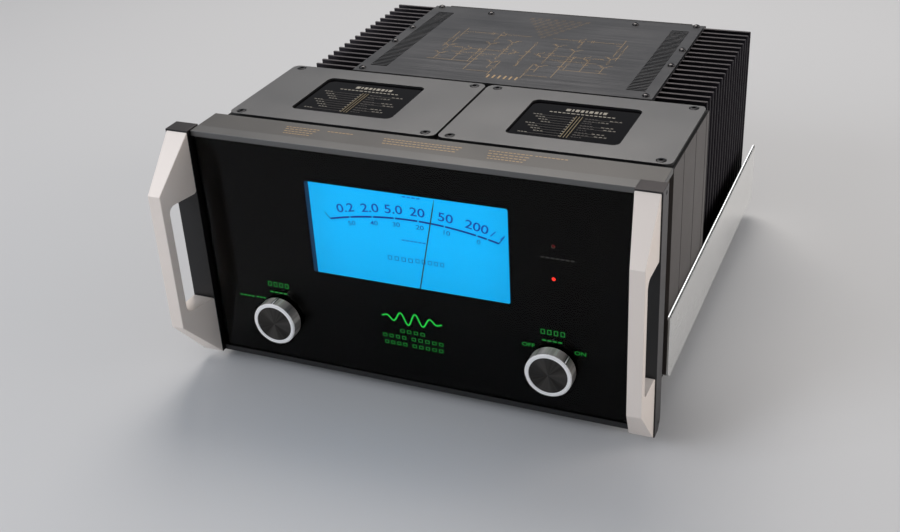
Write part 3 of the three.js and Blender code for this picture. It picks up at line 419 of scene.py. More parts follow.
def on_dial(p):
    """A point of the front's plane as a point just in front of the dial."""
    return (p.x, dial_face, p.y)


tick_places = (-0.0551, -0.0333, -0.0123, 0.0099, 0.0340, 0.0631, 0.0725)
tick_gap = 0.0006
scale_line = 0.0017
tail_line = 0.0007
line_ends = [arc_middle - arc_half, *tick_places, arc_middle + arc_half]
strips = []
for start, end in zip(line_ends, line_ends[1:]):
    strips += ribbon(arc_run(start + tick_gap, end - tick_gap), scale_line)
for side, out, rise in ((-1, 0.0056, 0.0054), (1, 0.0054, 0.0072)):
    x = arc_middle + side * (arc_half - 0.0008)
    strips += ribbon([(x, arc_height(x) - 0.0005), (x + side * out, arc_height(x) + rise)], tail_line)
drawing("dial_scale", strips, on_dial, dial_ink, "amplifier")
upper_numbers = ("0.2", "2.0", "5.0", "20", "50", "200")
lower_numbers = ("50", "40", "30", "20", "10", "0")
upper_middles = (-0.0590, -0.0352, -0.0128, 0.0095, 0.0352, 0.0632)
upper_size, upper_gap, upper_heavy = 0.0080, 0.0079, 0.012
lower_size, lower_gap, lower_heavy = 0.0042, 0.0060, 0.006
lower_shift = 0.0012
wide = Matrix.Diagonal((1.26, 1, 1, 1))
for x, middle, upper, lower in zip(tick_places, upper_middles, upper_numbers, lower_numbers):
    lean = Matrix.Rotation(math.asin((middle - arc_middle) / arc_radius), 4, "Y") @ facing_front @ wide
    lettering(
        f"dial_upper_{upper.replace('.', 'p')}", upper, upper_size, lean,
        (middle, dial_face, arc_height(x) + upper_gap), number_ink, "amplifier", upper_heavy)
    lettering(
        f"dial_lower_{lower}", lower, lower_size, lean,
        (x + lower_shift, dial_face, arc_height(x) - lower_gap), number_ink, "amplifier",
        lower_heavy)


def dashes(left, right_end, height, tall, widths):
    """A row of short strips, which stands for small print without saying anything."""
    space = 0.45
    unit = (right_end - left) / (sum(widths) + space * (len(widths) - 1))
    row, x = [], left
    for width in widths:
        row += ribbon([(x, height), (x + width * unit, height)], tall)
        x += (width + space) * unit
    return row


def windows(left, right_end, height, tall, count, line):
    """A row of small open frames, which stands for a word without spelling one."""
    row = []
    share = 0.52
    step = (right_end - left) / (count - 1 + share)
    for i in range(count):
        a, b = left + i * step, left + (i + share) * step
        low, high = height - tall / 2, height + tall / 2
        row += ribbon([(a, low), (b, low)], line) + ribbon([(a, high), (b, high)], line)
        row += ribbon([(a, low - line / 2), (a, high + line / 2)], line)
        row += ribbon([(b, low - line / 2), (b, high + line / 2)], line)
    return row


word_tall, word_line = 0.0036, 0.0006
words = windows(-0.0213, 0.0018, 0.1366, word_tall, 4, word_line)
words += windows(0.0052, 0.0313, 0.1373, word_tall, 5, word_line)
drawing("dial_words", words, on_dial, number_ink, "amplifier")
dash_tall = 0.0013
small_print = dashes(-0.0036, 0.0127, 0.1975, dash_tall, [1] * 4)
small_print += dashes(-0.0068, 0.0154, 0.1558, dash_tall, [1] * 6)
for slanted in (((0.0752, 0.1722), (0.0800, 0.1770)), ((0.0838, 0.1700), (0.0880, 0.1742))):
    small_print += ribbon(slanted, 0.0012)
drawing("dial_small_print", small_print, on_dial, dial_ink_pale, "amplifier")
finer("meter_pointer", metal("blackened needle", "#0A0A0C", 0.5, 0.5, metallic=0.0),
      0.0001, "pointer")

# The lit marks: clear spots in the black print of the glass, over a green light guide.
# OFF and ON are words. A plain wave, small frames and dashes fill the other places.
green_glow = glow("green light guide", "#22D848", 0.9)
green_pale = glow("dim green light guide", "#1FA03A", 0.7)
mark_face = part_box("glass_mask")[0].y - 0.00005


def on_mask(p):
    """A point of the front's plane as a point just in front of the black print."""
    return (p.x, mark_face, p.y)


knob_offset = 0.1319
knob_height = 0.0609
wave_half = 0.029
wave_level = 0.0805
wave_rise = 0.0062
wave_count = 4
steps = 96
wave = []
for share in (i / steps for i in range(steps + 1)):
    swing = math.sin(share * 2 * math.pi * wave_count) * math.sin(share * math.pi)
    wave.append((wave_half * (2 * share - 1), wave_level + wave_rise * swing))
drawing("lit_wave", ribbon(wave, 0.0013), on_mask, green_glow, "amplifier")
rows = []
row_tall, row_line = 0.0028, 0.0005
for left, right_end, height, count in (
        (-0.0115, 0.0115, 0.0672, 4), (-0.0290, -0.0070, 0.0602, 4), (-0.0010, 0.0290, 0.0602, 5),
        (-0.0275, -0.0065, 0.0532, 4), (-0.0005, 0.0285, 0.0532, 5)):
    rows += windows(left, right_end, height, row_tall, count, row_line)
for centre in (-knob_offset, knob_offset):
    rows += windows(centre - 0.0115, centre + 0.0092, knob_height + 0.0318, 0.0040, 4, word_line)
    rows += dashes(centre - 0.0105, centre + 0.0070, knob_height + 0.0234, dash_tall, [1] * 4)
rows += dashes(-knob_offset - 0.0438, -knob_offset - 0.0290, knob_height + 0.0147, dash_tall, [1] * 4)
rows += dashes(-knob_offset - 0.0262, -knob_offset - 0.0168, knob_height + 0.0151, dash_tall, [1] * 3)
drawing("lit_rows", rows, on_mask, green_pale, "amplifier")
# An unlit row of dull grey print stands between the two status lamps.
grey_print = metal("grey screen print", "#3C3A38", 0.6, 0.5, depth=0.0, metallic=0.0)
label_row = dashes(0.1212, 0.1500, 0.1642, 0.0014, [1] * 7)
drawing("lamp_label_row", label_row, on_mask, grey_print, "amplifier")
switch_word_size = 0.0036
switch_word_rise = 0.0158
switch_word_shift = 0.0231
for words, side in (("OFF", -1), ("ON", 1)):
    lettering(
        "lit_power_" + words.lower(), words, switch_word_size, facing_front @ Matrix.Diagonal((1.3, 1, 1, 1)),
        (knob_offset + side * switch_word_shift, mark_face, knob_height + switch_word_rise),
        green_pale, "amplifier", heavy=0.006)

# The status lamps: moulded plastic lenses on a small board behind the glass. The lower one
# is lit bright red, and the upper one only glimmers.
lower_red = glow("lit red lens", "#FF2A1E", 2.2, "#500000")
upper_red = glow("dim red lens", "#7A1410", 0.35, "#2A0000")
for node, lens in (("lower_lamp", lower_red), ("upper_lamp", upper_red)):
    finer(node, lens, 0.0001)
# The board is lacquered green, and the black print hides it.
board_green = metal("green solder mask", "#1E5A34", 0.4, 0.67, depth=0.03, metallic=0.0)
finer("lamp_board", board_green, 0.0001)

# The knobs: solid aluminium, turned and brushed round its side, with a bright cut ring in
# front, a black spun face inside the ring and a pale index line let into the side.


def lathe(name, profile, place, axis, finish, body, sides=64, nodes=(), edge=0):
    """A turned piece. Its profile of (radius, distance along the axis) starts and ends on the axis."""
    solid = bmesh.new()
    turn = Vector((0, 0, 1)).rotation_difference(Vector(axis)).to_matrix()
    rings = []
    for radius, along in profile:
        if radius < 1e-7:
            rings.append([solid.verts.new(Vector(place) + turn @ Vector((0, 0, along)))])
            continue
        ring = []
        for i in range(sides):
            angle = 2 * math.pi * i / sides
            ring.append(solid.verts.new(
                Vector(place) + turn @ Vector((radius * math.cos(angle), radius * math.sin(angle), along))))
        rings.append(ring)
    for low, high in zip(rings, rings[1:]):
        for i in range(sides):
            a, b = low[i % len(low)], low[(i + 1) % len(low)]
            c, d = high[(i + 1) % len(high)], high[i % len(high)]
            corners = list(dict.fromkeys((a, b, c, d)))
            if len(corners) > 2:
                solid.faces.new(corners)
    bmesh.ops.recalc_face_normals(solid, faces=solid.faces)
    piece = from_bmesh(name, solid, finish, body, nodes)
    piece.data.set_sharp_from_angle(angle=math.radians(30))
    if edge:
        soften(piece, edge)
    return piece


def spun(name, colour, rough, ring_gap, centre, sheen_sectors, sheen_contrast, across=(1, 0, 1), metallic=1.0):
    """Metal with turned rings about an axis along Y, a gap in millimetres apart, whose sheen spreads
    across them. Rings on a face are spaced across X and Z, and rings round a side along Y.
    Its tone also changes softly from sector to sector: a painted sheen of light and shade, as of the cutter's
    marks catching the lamps."""
    material, tree, output = new_material(name)
    place = add(tree, "ShaderNodeTexCoord").outputs["Object"]
    shifted = add(tree, "ShaderNodeVectorMath", {"operation": "SUBTRACT"})
    tree.links.new(place, shifted.inputs[0])
    shifted.inputs[1].default_value = centre
    flat = add(tree, "ShaderNodeVectorMath", {"operation": "MULTIPLY"})
    tree.links.new(shifted.outputs[0], flat.inputs[0])
    flat.inputs[1].default_value = across
    far = add(tree, "ShaderNodeVectorMath", {"operation": "LENGTH"})
    tree.links.new(flat.outputs[0], far.inputs[0])
    ringed = add(tree, "ShaderNodeTexNoise", {"noise_dimensions": "1D"}, Scale=1000 / ring_gap, Detail=3.0)
    tree.links.new(far.outputs["Value"], ringed.inputs["W"])
    spread = 0.08
    rough_range = add(
        tree, "ShaderNodeMapRange", Value=ringed.outputs[0], To_Min=rough - spread, To_Max=rough + spread)
    tone = add(tree, "ShaderNodeMapRange", Value=ringed.outputs[0], To_Min=0.8, To_Max=1.2)
    outward = add(tree, "ShaderNodeVectorMath", {"operation": "MULTIPLY"})
    tree.links.new(shifted.outputs[0], outward.inputs[0])
    outward.inputs[1].default_value = (1, 0, 1)
    heading = add(tree, "ShaderNodeVectorMath", {"operation": "NORMALIZE"})
    tree.links.new(outward.outputs[0], heading.inputs[0])
    painted_sheen = add(tree, "ShaderNodeTexNoise", Vector=heading.outputs[0], Scale=sheen_sectors, Detail=2.0)
    shade = add(tree, "ShaderNodeMapRange", Value=painted_sheen.outputs[0],
                From_Min=0.32, From_Max=0.68, To_Min=1 - sheen_contrast, To_Max=1 + sheen_contrast)
    both = add(tree, "ShaderNodeMath", {"operation": "MULTIPLY"})
    tree.links.new(tone.outputs[0], both.inputs[0])
    tree.links.new(shade.outputs[0], both.inputs[1])
    tinted = add(tree, "ShaderNodeVectorMath", {"operation": "SCALE"}, Scale=both.outputs[0])
    tinted.inputs[0].default_value = linear(colour)[:3]
    bump = add(tree, "ShaderNodeBump", Strength=0.35, Distance=0.00004, Height=ringed.outputs[0])
    shader = add(tree, "ShaderNodeBsdfPrincipled", Base_Color=tinted.outputs[0], Metallic=metallic,
                 Roughness=rough_range.outputs[0], Normal=bump.outputs[0], Anisotropic=0.85)
    tree.links.new(flat.outputs[0], shader.inputs["Tangent"])
    tree.links.new(shader.outputs[0], output.inputs[0])
    return material


# The ring is cut with a diamond and would mirror the lamps from every side; it is painted plain white, a
# painted highlight.
painted_white_ring = metal(
    "white painted highlight of the cut ring", "#FFFFFF", 0.3, 0.33, depth=0.04, spread=0.03, metallic=0.0)
index_white = metal("white index paint", "#F4F4F2", 0.5, 0.5, depth=0.02, metallic=0.0)
black_plastic_and_groove_shade = metal("black moulded plastic", "#1B1B1C", 0.45, 0.83, depth=0.08, metallic=0.0)
radius = 0.021
long = 0.013
rim = 0.0035
chamfer = 0.0009
bevel = 0.0012
lip = 0.0004
shaft_radius = 0.003
shaft_end = 0.0238
hollow_radius = radius - 0.0045
face_radius = radius - rim - lip
ring_depth = 0.002
face_sunk = 0.00045
groove_length = long - 0.0022
groove_depth = 0.0008
towards_front = (0, -1, 0)
for node, side in (("meter_knob", -1), ("power_knob", 1)):
    low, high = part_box(node)
    centre = Vector((side * knob_offset, low.y, knob_height))
    spoken = node.replace("_", " ")
    # The face is spun and anodised black, and dull sectors, a painted sheen, run out from its middle.
    face = spun(f"spun black face of the {spoken}", "#484644", 0.34, 0.192, centre, 1.7, 0.4)
    # The side is brushed round and bare, and broad light and dark bands, a painted sheen, run along it.
    knob_shell = spun(
        f"brushed side of the {spoken}", "#D8D4CE", 0.34, 0.238, centre, 2.4, 0.75, (0, 1, 0), 0.55)
    lathe(node + "_body", [
        (0, -shaft_end), (shaft_radius, -shaft_end), (shaft_radius, -long), (hollow_radius, -long),
        (radius - 0.0008, -long), (radius, -long + 0.0008), (radius, -chamfer), (0, -chamfer)],
        centre, towards_front, knob_shell, node, 96, [node])
    lathe(node + "_bright_ring", [
        (0, -ring_depth), (radius, -ring_depth), (radius, -bevel), (radius - bevel, 0), (radius - rim, 0),
        (face_radius, -chamfer), (0, -chamfer)],
        centre, towards_front, painted_white_ring, node, 96)
    lathe(node + "_spun_face", [
        (0, -bevel), (face_radius, -bevel), (face_radius, -face_sunk), (0, -face_sunk)],
        centre, towards_front, face, node, 96)
    turn = math.radians(45 if side > 0 else 0)
    # The black strip under the index line stands for the groove: painted shade.
    for part, width, rise, finish in (
            ("groove", 0.0030, 0.00002, black_plastic_and_groove_shade), ("line", 0.0013, 0.00008, index_white)):
        strip = bmesh.new()
        bmesh.ops.create_cube(strip, size=1)
        bmesh.ops.scale(strip, vec=(width, groove_length, groove_depth), verts=strip.verts)
        bmesh.ops.translate(
            strip, vec=(0, long / 2 + lip, radius - groove_depth / 2 + rise), verts=strip.verts)
        bmesh.ops.rotate(strip, cent=(0, 0, 0), matrix=Matrix.Rotation(turn, 3, "Y"), verts=strip.verts)
        bmesh.ops.translate(strip, vec=centre, verts=strip.verts)
        from_bmesh(f"{node}_index_{part}", strip, finish, node)

# The rotary switches behind the knobs: moulded black bodies with a bush that the shaft turns
# in. They sit behind the glass, and only the gap round the shaft gives a glimpse of them.
for node in ("meter_switch", "power_switch"):
    finer(node, black_plastic_and_groove_shade, 0.0003)

# The front box and its deck: folded steel sheet, painted satin black in front, with its sides painted pale
# grey, painted light that lifts the shade of the recess, and covered by an aluminium deck, blasted and
# anodised to an even, dull grey.
black_paint_and_shade = metal("satin black steel sheet", "#101011", 0.45, 1.1, depth=0.15, metallic=0.0)
painted_light_grey = metal("pale grey painted light", "#68625C", 0.5, 0.77, depth=0.2, metallic=0.2)
front_box = finer("front_subpanel", black_paint_and_shade, 0.0003)
# The sides are painted a pale grey: painted light in the shade of the recess.
repaint(front_box, painted_light_grey, lambda normal, _: abs(normal.x) > 0.5)
deck_grey = metal("blasted grey aluminium", "#666564", 0.4, 0.56, depth=0.22, shade=0.05)
finer("front_deck", deck_grey, 0.0006)
# Bronze powder ink: a warm tone that is a little brighter than the sheet round it.
gold_print = metal("gold screen print", "#B4966C", 0.42, 0.4, depth=0.02, metallic=0.2)
deck_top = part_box("front_deck")[1].z + 0.00006
panel_front = -0.22055
letter_pitch = 0.0034
small_print = []
# Paragraphs of dashes: left, right, and how far behind the glass each row lies.
for left, right_end, rows in (
        (-0.1330, -0.1000, (0.0560, 0.0518, 0.0473, 0.0430)), (-0.0915, -0.0670, (0.0558,)),
        (-0.0365, 0.0360, (0.0555, 0.0510, 0.0462)), (0.0600, 0.0985, (0.0570, 0.0520, 0.0472, 0.0425)),
        (0.1010, 0.1290, (0.0570,))):
    for i, depth in enumerate(rows):
        count = round((right_end - left) / letter_pitch) - (i * 3) % 4
        inset = 0.0012 * ((i * 5) % 4)
        widths = [1 + 0.25 * ((k * 7 + i) % 3) for k in range(count)]
        small_print += dashes(left + inset, right_end - inset, panel_front + depth, dash_tall, widths)
drawing(
    "deck_small_print", small_print, lambda p: (p.x, p.y, deck_top), gold_print, "amplifier")

# The chassis tray: stainless steel sheet, folded, ground and polished. The top of each side has
# a line that is ground bright, with a matt black strip along it, a painted shadow line. Four screwed rubber
# feet carry it.

# Polished along its length, it draws what it mirrors out into soft, long streaks.
polished_steel = metal(
    "polished stainless steel", "#F4F4F2", 0.2, (0.45, 71, 0.45), depth=0.12, spread=0.06, shade=0.06,
    metallic=0.62)
finer("chassis_tray", polished_steel, 0.0006)
tray_low, tray_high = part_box("chassis_tray")


def bar(name, profile, front, rear, finish, side):
    """A straight strip along Y: its profile of (distance from the middle, height), on one side."""
    solid = bmesh.new()
    ends = [[solid.verts.new((side * x, y, z)) for x, z in profile] for y in (front, rear)]
    solid.faces.new(ends[0])
    solid.faces.new(ends[1][::-1])
    for i in range(len(profile)):
        j = (i + 1) % len(profile)
        solid.faces.new((ends[0][i], ends[1][i], ends[1][j], ends[0][j]))
    bmesh.ops.recalc_face_normals(solid, faces=solid.faces)
    piece = from_bmesh(name, solid, finish, "amplifier")
    piece.data.set_sharp_from_angle(angle=math.radians(20))
    return piece


# Ground along its length, the edge is nearly even, and mirrors the low lamp behind as a white line.
bright_steel = metal(
    "ground and polished edge", "#FFFFFF", 0.22, (1.1, 25, 1.1), depth=0.04, shade=0.02, metallic=0.8)
# A matt black strip beside the bright one is a painted shadow line.
painted_shadow_line = metal("black painted shadow line", "#060606", 0.7, 0.67, depth=0.1, metallic=0.0)
end_gap = 0.0008
front, rear = tray_low.y + end_gap, tray_high.y - end_gap
x, z = tray_high.x, tray_high.z
for side, word in two_sides:
    bar(word + "_bright_edge", [
        (x - 0.0026, z - 0.0002), (x - 0.0026, z + 0.0010), (x - 0.0023, z + 0.0010), (x - 0.0013, z),
        (x - 0.0013, z - 0.0002)],
        front, rear, bright_steel, side)
    bar(word + "_edge_shadow", [
        (x - 0.0013, z - 0.0002), (x - 0.0013, z + 0.0002), (x - 0.0004, z + 0.0002),
        (x + 0.0001, z - 0.0005), (x + 0.0001, z - 0.0010), (x - 0.0004, z - 0.0010)],
        front, rear, painted_shadow_line, side)

# Moulded and dull, the rubber shows only as a dark shape on the floor.
foot_rubber = metal("black rubber", "#161616", 0.75, 0.62, depth=0.4, metallic=0.0)
foot_radius = 0.019
well_radius = 0.0065
well_depth = 0.0065
foot_screw_radius = 0.0048
for node in ("front_left_foot", "front_right_foot", "back_left_foot", "back_right_foot"):
    low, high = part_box(node)
    middle = (low + high) / 2
    lathe(node + "_moulding", [
        (0, well_depth), (well_radius - 0.0002, well_depth), (well_radius, well_depth - 0.0002),
        (well_radius, 0.0006), (well_radius + 0.0006, 0), (0.0153, 0), (0.0159, 0.0003), (0.0187, 0.0026),
        (foot_radius, 0.0034), (foot_radius, high.z), (0, high.z)],
        (middle.x, middle.y, low.z), (0, 0, 1), foot_rubber, "amplifier", 48, [node])
    socket_screw(
        node + "_screw", (middle.x, middle.y, well_depth - 0.0003), (0, 0, -1), foot_screw_radius, 0.0028)

# The transformer cases: folded steel sleeves, painted satin grey, so that they shine a little
# along their grooves, with their upward faces painted black, painted shade in the gap under their covers.
case_grey = metal("satin grey paint", "#524C49", 0.45, 0.77, depth=0.25, metallic=0.5)
painted_shade_black = metal("black painted shade", "#0A0A0B", 0.8, 0.67, depth=0.3, metallic=0.0)
for node in ("left_transformer_case", "right_transformer_case"):
    repaint(finer(node, case_grey, 0.0005), painted_shade_black, lambda normal, _: normal.z > 0.5)

# The case covers: thick aluminium plates with rounded corners, blasted and anodised grey,
# each with a window that is cut through it with a bright chamfer round its upper edge.
# Blasting leaves them even and satin, and the sides are painted black, painted shade that parts them from the
# cases.
cover_grey = metal(
    "blasted anodised aluminium", "#7A7A7B", 0.36, 0.53, depth=0.2, spread=0.05, shade=0.04)
painted_shade_edge = metal("black painted shade of the edges", "#0D0D0E", 0.5, 0.53, depth=0.1, metallic=0.0)
edge_pale = metal("cut aluminium edge", "#9A9998", 0.3, 0.53, depth=0.1)
for node in ("left_transformer_cover", "right_transformer_cover"):
    plate = finer(node, cover_grey, 0.0010, segments=1)
    repaint(plate, painted_shade_edge, lambda normal, _: abs(normal.z) < 0.5)
    plate.modifiers["rounded edges"].material = repaint(plate, edge_pale, lambda normal, _: False)

# The labels: black glass plates under the windows, polished and nearly free of reflections.
# Three upright lines, as of a graph, and rows of small bars are printed on them.
label_glass, tree, output = new_material("black label glass")
shader = add(tree, "ShaderNodeBsdfPrincipled", Base_Color=linear("#040204"), Roughness=0.06, IOR=1.15)
tree.links.new(shader.outputs[0], output.inputs[0])
# Metal powder inks, of which the dim one is thin and lets the black glass show through.
silver_print = metal("silver screen print", "#A29C90", 0.4, 0.4, depth=0.02, metallic=0.2)
gold_lines = metal("dull gold screen print", "#7C6C48", 0.4, 0.4, depth=0.02, metallic=0.2)
dim_print = metal("dim screen print", "#4A4440", 0.4, 0.4, depth=0.02, metallic=0.2)
row_count = 9
row_pitch = 0.0052
first_row = 0.0100
bar_tall = 0.0008
bar_rise = 0.0012
fine_line = 0.00045
graph_line = 0.0007
graph_gap = 0.0028
graph_clear = 0.0060
title_widths = (1.2, 0.5, 1, 0.8, 0.6, 1, 0.9, 0.5, 1)
for node in ("left_label", "right_label"):
    finer(node, label_glass, 0.0003)
    low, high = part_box(node)
    x, front, rear = (low.x + high.x) / 2, low.y, high.y
    label_face = high.z + 0.00006
    strips = dashes(x - 0.0165, x + 0.0215, rear - 0.0130, 0.0052, title_widths)
    strips += dashes(x - 0.0300, x + 0.0310, rear - 0.0205, 0.0016, [1] * 5 + [1.4] + [1] * 9)
    faint = []
    for i in range(row_count):
        y = front + first_row + row_pitch * i
        left_end = low.x + 0.0085 + 0.0042 * ((i * 3) % 4)
        right_end = high.x - 0.0115 - 0.0036 * ((i * 5) % 4)
        strips += dashes(left_end, left_end + 0.0085, y + bar_rise, bar_tall, (1, 0.8, 1))
        faint += ribbon([(left_end, y), (x - graph_clear, y)], fine_line)
        strips += dashes(x - 0.0052, x - 0.0034, y, 0.0011, (1,))
        if i % 3:
            faint += ribbon([(x + graph_clear, y), (right_end, y)], fine_line)
            strips += dashes(right_end - 0.0110, right_end, y + bar_rise, bar_tall, (1, 1, 0.8))
        short_end = x + 0.0150 + 0.0024 * ((i * 5) % 3)
        faint += dashes(x + graph_clear, short_end, y + bar_rise, bar_tall, (1, 1, 0.7, 1))
    graph = []
    for line in (x - graph_gap, x, x + graph_gap):
        graph += ribbon([(line, front + 0.0080), (line, front + 0.0560)], graph_line)
    for part, shapes, ink in (
            ("graph", graph, gold_lines), ("print", strips, silver_print), ("dim_print", faint, dim_print)):
        drawing(f"{node}_{part}", shapes, lambda p: (p.x, p.y, label_face), ink, "amplifier")

# The cover screws: socket screws of blackened steel, sunk into the corners of the covers,
# each with its head and its plain shank.
cover_screw_radius = 0.0044
cover_screw_proud = 0.0008
shank_radius = 0.002
head_height = 0.0026
for node in [f"{word}_cover_screw_{i}" for word in ("left", "right") for i in (1, 2, 3, 4)]:
    low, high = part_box(node)
    x, y = (low.x + high.x) / 2, (low.y + high.y) / 2
    socket_screw(
        node + "_head", (x, y, high.z - cover_screw_proud), (0, 0, 1), cover_screw_radius, cover_screw_proud)
    shank = bmesh.new()
    shank_top = high.z - head_height
    bmesh.ops.create_cone(
        shank, cap_ends=True, segments=24, radius1=shank_radius, radius2=shank_radius,
        depth=shank_top - low.z, matrix=Matrix.Translation((x, y, (low.z + shank_top) / 2)))
    from_bmesh(node + "_shank", shank, screw_steel, "amplifier", [node])

# What the cases hold: stacked steel laminations with their windings, dipped in brown varnish,
# which leaves them dull and striped by the edges of the sheets.
core_varnish = metal("varnished laminations", "#4A3226", 0.5, (17, 17, 0.36), depth=0.6, metallic=0.3)
for node in ("power_transformer", "output_autoformer"):
    finer(node, core_varnish, 0.001)

# The heat sinks: aluminium extrusions with plain fins, anodised black after sawing, so that the fins stay
# dark;
# their upward faces are painted a lighter grey with saw marks, painted light from above.
sink_black = metal("black anodised extrusion", "#353236", 0.42, (0.4, 0.4, 17), depth=0.5)
sink_lit_ends = metal("fin ends painted lighter by light from above", "#5C585A", 0.4, (0.4, 3.3, 0.4), depth=0.4)
for node in ("left_heat_sink", "right_heat_sink"):
    fins = finer(node, sink_black, 0.0004)
    repaint(fins, sink_lit_ends, lambda normal, _: normal.z > 0.5)

# The gap strips: black blocks, cut to size and set between each case and its heat sink,
# painted shade that closes the view through the gap.
case_low, case_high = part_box("right_transformer_case")
sink_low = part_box("right_heat_sink")[0]
clearance = 0.0002
side_inset = 0.003
end_inset = 0.002
low = Vector((sink_low.x + side_inset, case_high.y + clearance, case_low.z + end_inset))
high = Vector((case_high.x - side_inset, sink_low.y - clearance, case_high.z - end_inset))
for side, word in two_sides:
    strip = bmesh.new()
    bmesh.ops.create_cube(strip, size=1)
    bmesh.ops.scale(strip, vec=high - low, verts=strip.verts)
    middle = (low + high) / 2
    bmesh.ops.translate(strip, vec=(side * middle.x, middle.y, middle.z), verts=strip.verts)
    soften(from_bmesh(word + "_gap_strip", strip, painted_shade_black, "amplifier"), 0.0004)

# The smoothing capacitors: aluminium cans in smooth, shrunk blue sleeves, which stand under
# the top cover, where no view reaches them.
can_sleeve = metal("shrunk blue sleeve", "#1D3358", 0.35, 1.2, depth=0.05, metallic=0.0)
for node in ("left_capacitor", "right_capacitor"):
    finer(node, can_sleeve, 0.0006)

# The top cover: folded aluminium sheet, brushed across and anodised grey, with every face below its top,
# the step in front among them, painted black as painted shade, two rows of punched slots that let the heat
# out, and round-headed screws. A circuit of thin gold lines, of no real amplifier, is printed between the
# slots.

# Real brushing lines are too fine to show, so they are drawn 1.43 mm apart.
top_grey = metal(
    "brushed anodised sheet", "#5E5E60", 0.34, (125, 1.43, 1.43), depth=0.08, spread=0.06, shade=0.15,
    streaks=2.2)
cover_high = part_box("top_cover")[1]
top_cover = finer("top_cover", top_grey, 0.0004)
# Every face below the top, the step in front among them, is painted black: painted shade.
repaint(top_cover, black_paint_and_shade, lambda normal, middle: middle.z < cover_high.z - 0.0001)
# Chromed and polished, the screw heads show a bright dot on a dark dome.
polished_screw = metal("dark chromed screw steel", "#4A494A", 0.16, 0.25, depth=0.05)
pan_radius = 0.0037
pan_rise = 0.0022


def pan_screw(name, place, axis, radius, rise):
    """A round-headed screw, domed over its rim, with a small socket."""
    socket = radius * 0.34
    dome = []
    for angle in (math.radians(degrees) for degrees in (0, 18, 36, 54, 66)):
        dome.append((radius * math.cos(angle), rise * (0.25 + 0.75 * math.sin(angle))))
    profile = [
        (0, -0.001), (radius, -0.001), (radius, 0), *dome, (socket, rise), (socket, rise * 0.45),
        (0, rise * 0.4)]
    lathe(name, profile, place, axis, polished_screw, "amplifier", 32)


back_screw_offset = 0.083
# How far in from the side, and at which depth, the four screws of a side stand.
side_screws = ((0.0075, 0.0142), (0.0045, 0.0985), (0.0045, 0.1445), (0.0075, 0.2200))
for side, word in two_sides:
    for i, (inset, depth) in enumerate(side_screws):
        place = (side * (cover_high.x - inset), depth, cover_high.z)
        pan_screw(f"{word}_top_screw_{i + 1}", place, (0, 0, 1), pan_radius, pan_rise)
    place = (side * back_screw_offset, cover_high.y - 0.0120, cover_high.z)
    pan_screw(f"{word}_top_back_screw", place, (0, 0, 1), pan_radius, pan_rise)

circuit_face = cover_high.z + 0.00006
unit = 0.0062
zigzag = [(-0.54 + 0.22 * k, 0.28 if k % 2 == 0 else -0.28) for k in range(6)]
# Each symbol is a set of lines about its middle, one unit long each way.
symbols = {
    "resistor": [[(-1, 0), (-0.65, 0), *zigzag, (0.67, 0), (1, 0)]],
    "capacitor": [[(-1, 0), (-0.14, 0)], [(0.14, 0), (1, 0)], [(-0.14, -0.5), (-0.14, 0.5)],
                  [(0.14, -0.5), (0.14, 0.5)]],
    "coil": [[(-1, 0)] + [(-0.6 + 0.4 * k - 0.2 * math.cos(t * math.pi / 6), 0.34 * math.sin(t * math.pi / 6))
                          for k in range(4) for t in range(7)] + [(1, 0)]],
    "valve": [[(-1, 0), (-0.3, 0)], [(-0.3, -0.62), (-0.3, 0.62)], [(-0.3, 0.25), (0.45, 0.8), (0.45, 1.25)],
              [(-0.3, -0.25), (0.45, -0.8), (0.45, -1.25)], [(0.1, -0.28), (0.45, -0.8), (-0.05, -0.72)]],
    "bar": [[(-1, 0), (1, 0)], [(0, 0), (0, -0.9)]],
    "wire": [[(-1, 0), (1, 0)]],
}
lines = []


def strand(x, front, kinds, side, stretch=1.0):
    """A chain of symbols from one depth to the back, on one side of the middle."""
    for k, kind in enumerate(kinds):
        y = front + unit * stretch * (2 * k + 1)
        for line in symbols[kind]:
            lines.append([(side * (x + b * unit), y + a * unit * stretch) for a, b in line])


def branch(y, inner, kinds, side):
    """A chain of symbols across, outwards from the middle."""
    for k, kind in enumerate(kinds):
        x = inner + unit * (2 * k + 1)
        for line in symbols[kind]:
            lines.append([(side * (x + a * unit), y + b * unit) for a, b in line])


for side in (-1, 1):
    strand(0.0175, 0.0270, ("wire", "resistor", "wire"), side, 1.05)
    strand(0.0250, 0.0460, ("bar", "valve", "resistor", "bar", "capacitor", "resistor", "valve"), side)
    strand(0.0460, 0.0360, ("wire", "wire", "capacitor", "bar", "resistor", "wire", "valve", "resistor",
                            "bar"), side)
    strand(0.0510, 0.0590, ("wire", "resistor", "bar"), side)
    strand(0.0680, 0.0590, ("wire", "capacitor", "resistor"), side)
    strand(0.0880, 0.0590, ("bar", "valve", "resistor", "valve", "wire", "resistor", "bar", "wire"), side)
    strand(0.0935, 0.0960, ("wire", "resistor", "wire"), side, 1.3)
    branch(0.0960, 0.0080, ("valve", "resistor", "wire", "capacitor", "valve", "coil"), side)
    branch(0.0835, 0.0290, ("resistor", "wire", "resistor", "wire"), side)
    branch(0.1460, 0.0120, ("wire", "resistor", "valve", "capacitor", "wire", "resistor"), side)
    branch(0.0588, 0.0460, ("wire", "wire", "wire", "wire"), side)
    branch(0.0362, 0.0180, ("wire", "wire"), side)
strand(0.0, 0.0570, ("coil", "resistor", "bar", "capacitor", "wire", "resistor"), 1)
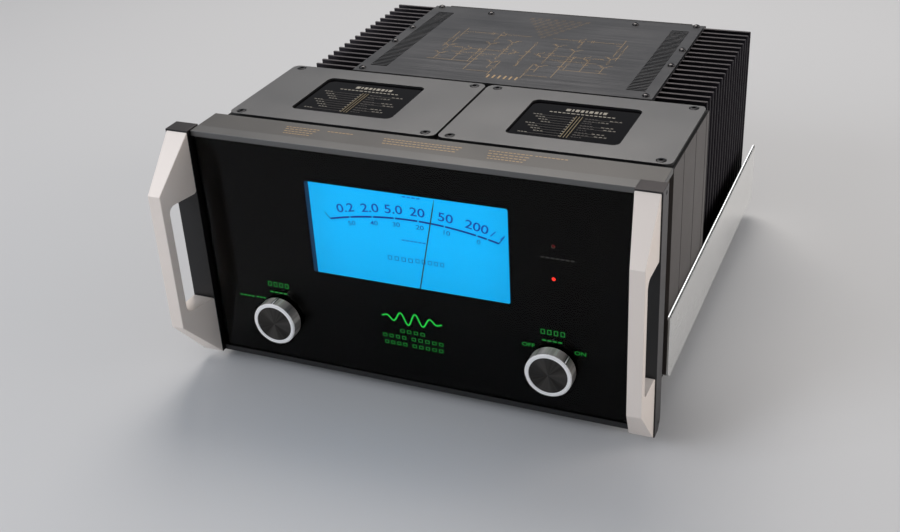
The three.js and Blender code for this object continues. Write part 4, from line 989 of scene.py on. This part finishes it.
# A fan of small zigzags widens towards the back.
fan_rows = 8
half_wide, step = 0.0024, 0.0018
for k in range(fan_rows):
    y = 0.1450 + 0.0080 * k
    for x in (0.0090 * (j - k / 2) for j in range(k + 1)):
        lines.append([(x + half_wide * (-1) ** (n + 1), y + step * n) for n in range(4)])
comb_teeth = 6
comb = [[(x, 0.0205), (x, 0.0290)] for x in (-0.0148 + 0.0059 * k for k in range(comb_teeth))]
circuit_line, comb_line = 0.0005, 0.0019
strips = []
for line in lines:
    strips += ribbon(line, circuit_line)
for line in comb:
    strips += ribbon(line, comb_line)
drawing(
    "top_circuit_print", strips, lambda p: (p.x, p.y, circuit_face), gold_print, "amplifier")

# The rear panel: a steel sheet, painted satin black, with a shelf under the top cover and
# round-headed screws into the ends of the heat sinks.
finer("rear_panel", black_paint_and_shade, 0.0004)
panel_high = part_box("rear_panel")[1]
sink_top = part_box("right_heat_sink")[1].z
end_distance = 0.016
screw_heights = (tray_high.z + end_distance, (tray_high.z + sink_top) / 2, sink_top - end_distance)
for side, word in two_sides:
    for i, height in enumerate(screw_heights):
        place = (side * (panel_high.x - 0.0032), panel_high.y, height)
        pan_screw(f"{word}_rear_screw_{i + 1}", place, (0, 1, 0), 0.0036, 0.0021)

# What the rear panel carries: sockets moulded in black nylon with a satin skin, contacts plated
# with gold, which stays bright and warm, and two speaker terminals with fluted nuts, one red.
moulded_black = metal("moulded black nylon", "#161617", 0.4, 0.67, depth=0.12, metallic=0.0)
moulded_red = metal("moulded red nylon", "#9E1418", 0.38, 0.67, depth=0.12, metallic=0.0)
gold_plate = metal("gold plate", "#E2B65A", 0.2, 0.33, depth=0.05, spread=0.04)
for node in ("terminal_plate", "balanced_input", "mains_inlet", "fuse_holder"):
    finer(node, moulded_black, 0.0003)
for node in ("positive_stud", "negative_stud", "unbalanced_input"):
    finer(node, gold_plate, 0.0002)
finer("positive_nut", moulded_red, 0.0003, "positive_nut")
finer("negative_nut", moulded_black, 0.0003, "negative_nut")
finer("fuse_cap", moulded_black, 0.0003, "fuse_cap")
finer("balanced_latch", metal("nickel plate", "#B5B5B3", 0.25, 0.33), 0.0003, "latch")
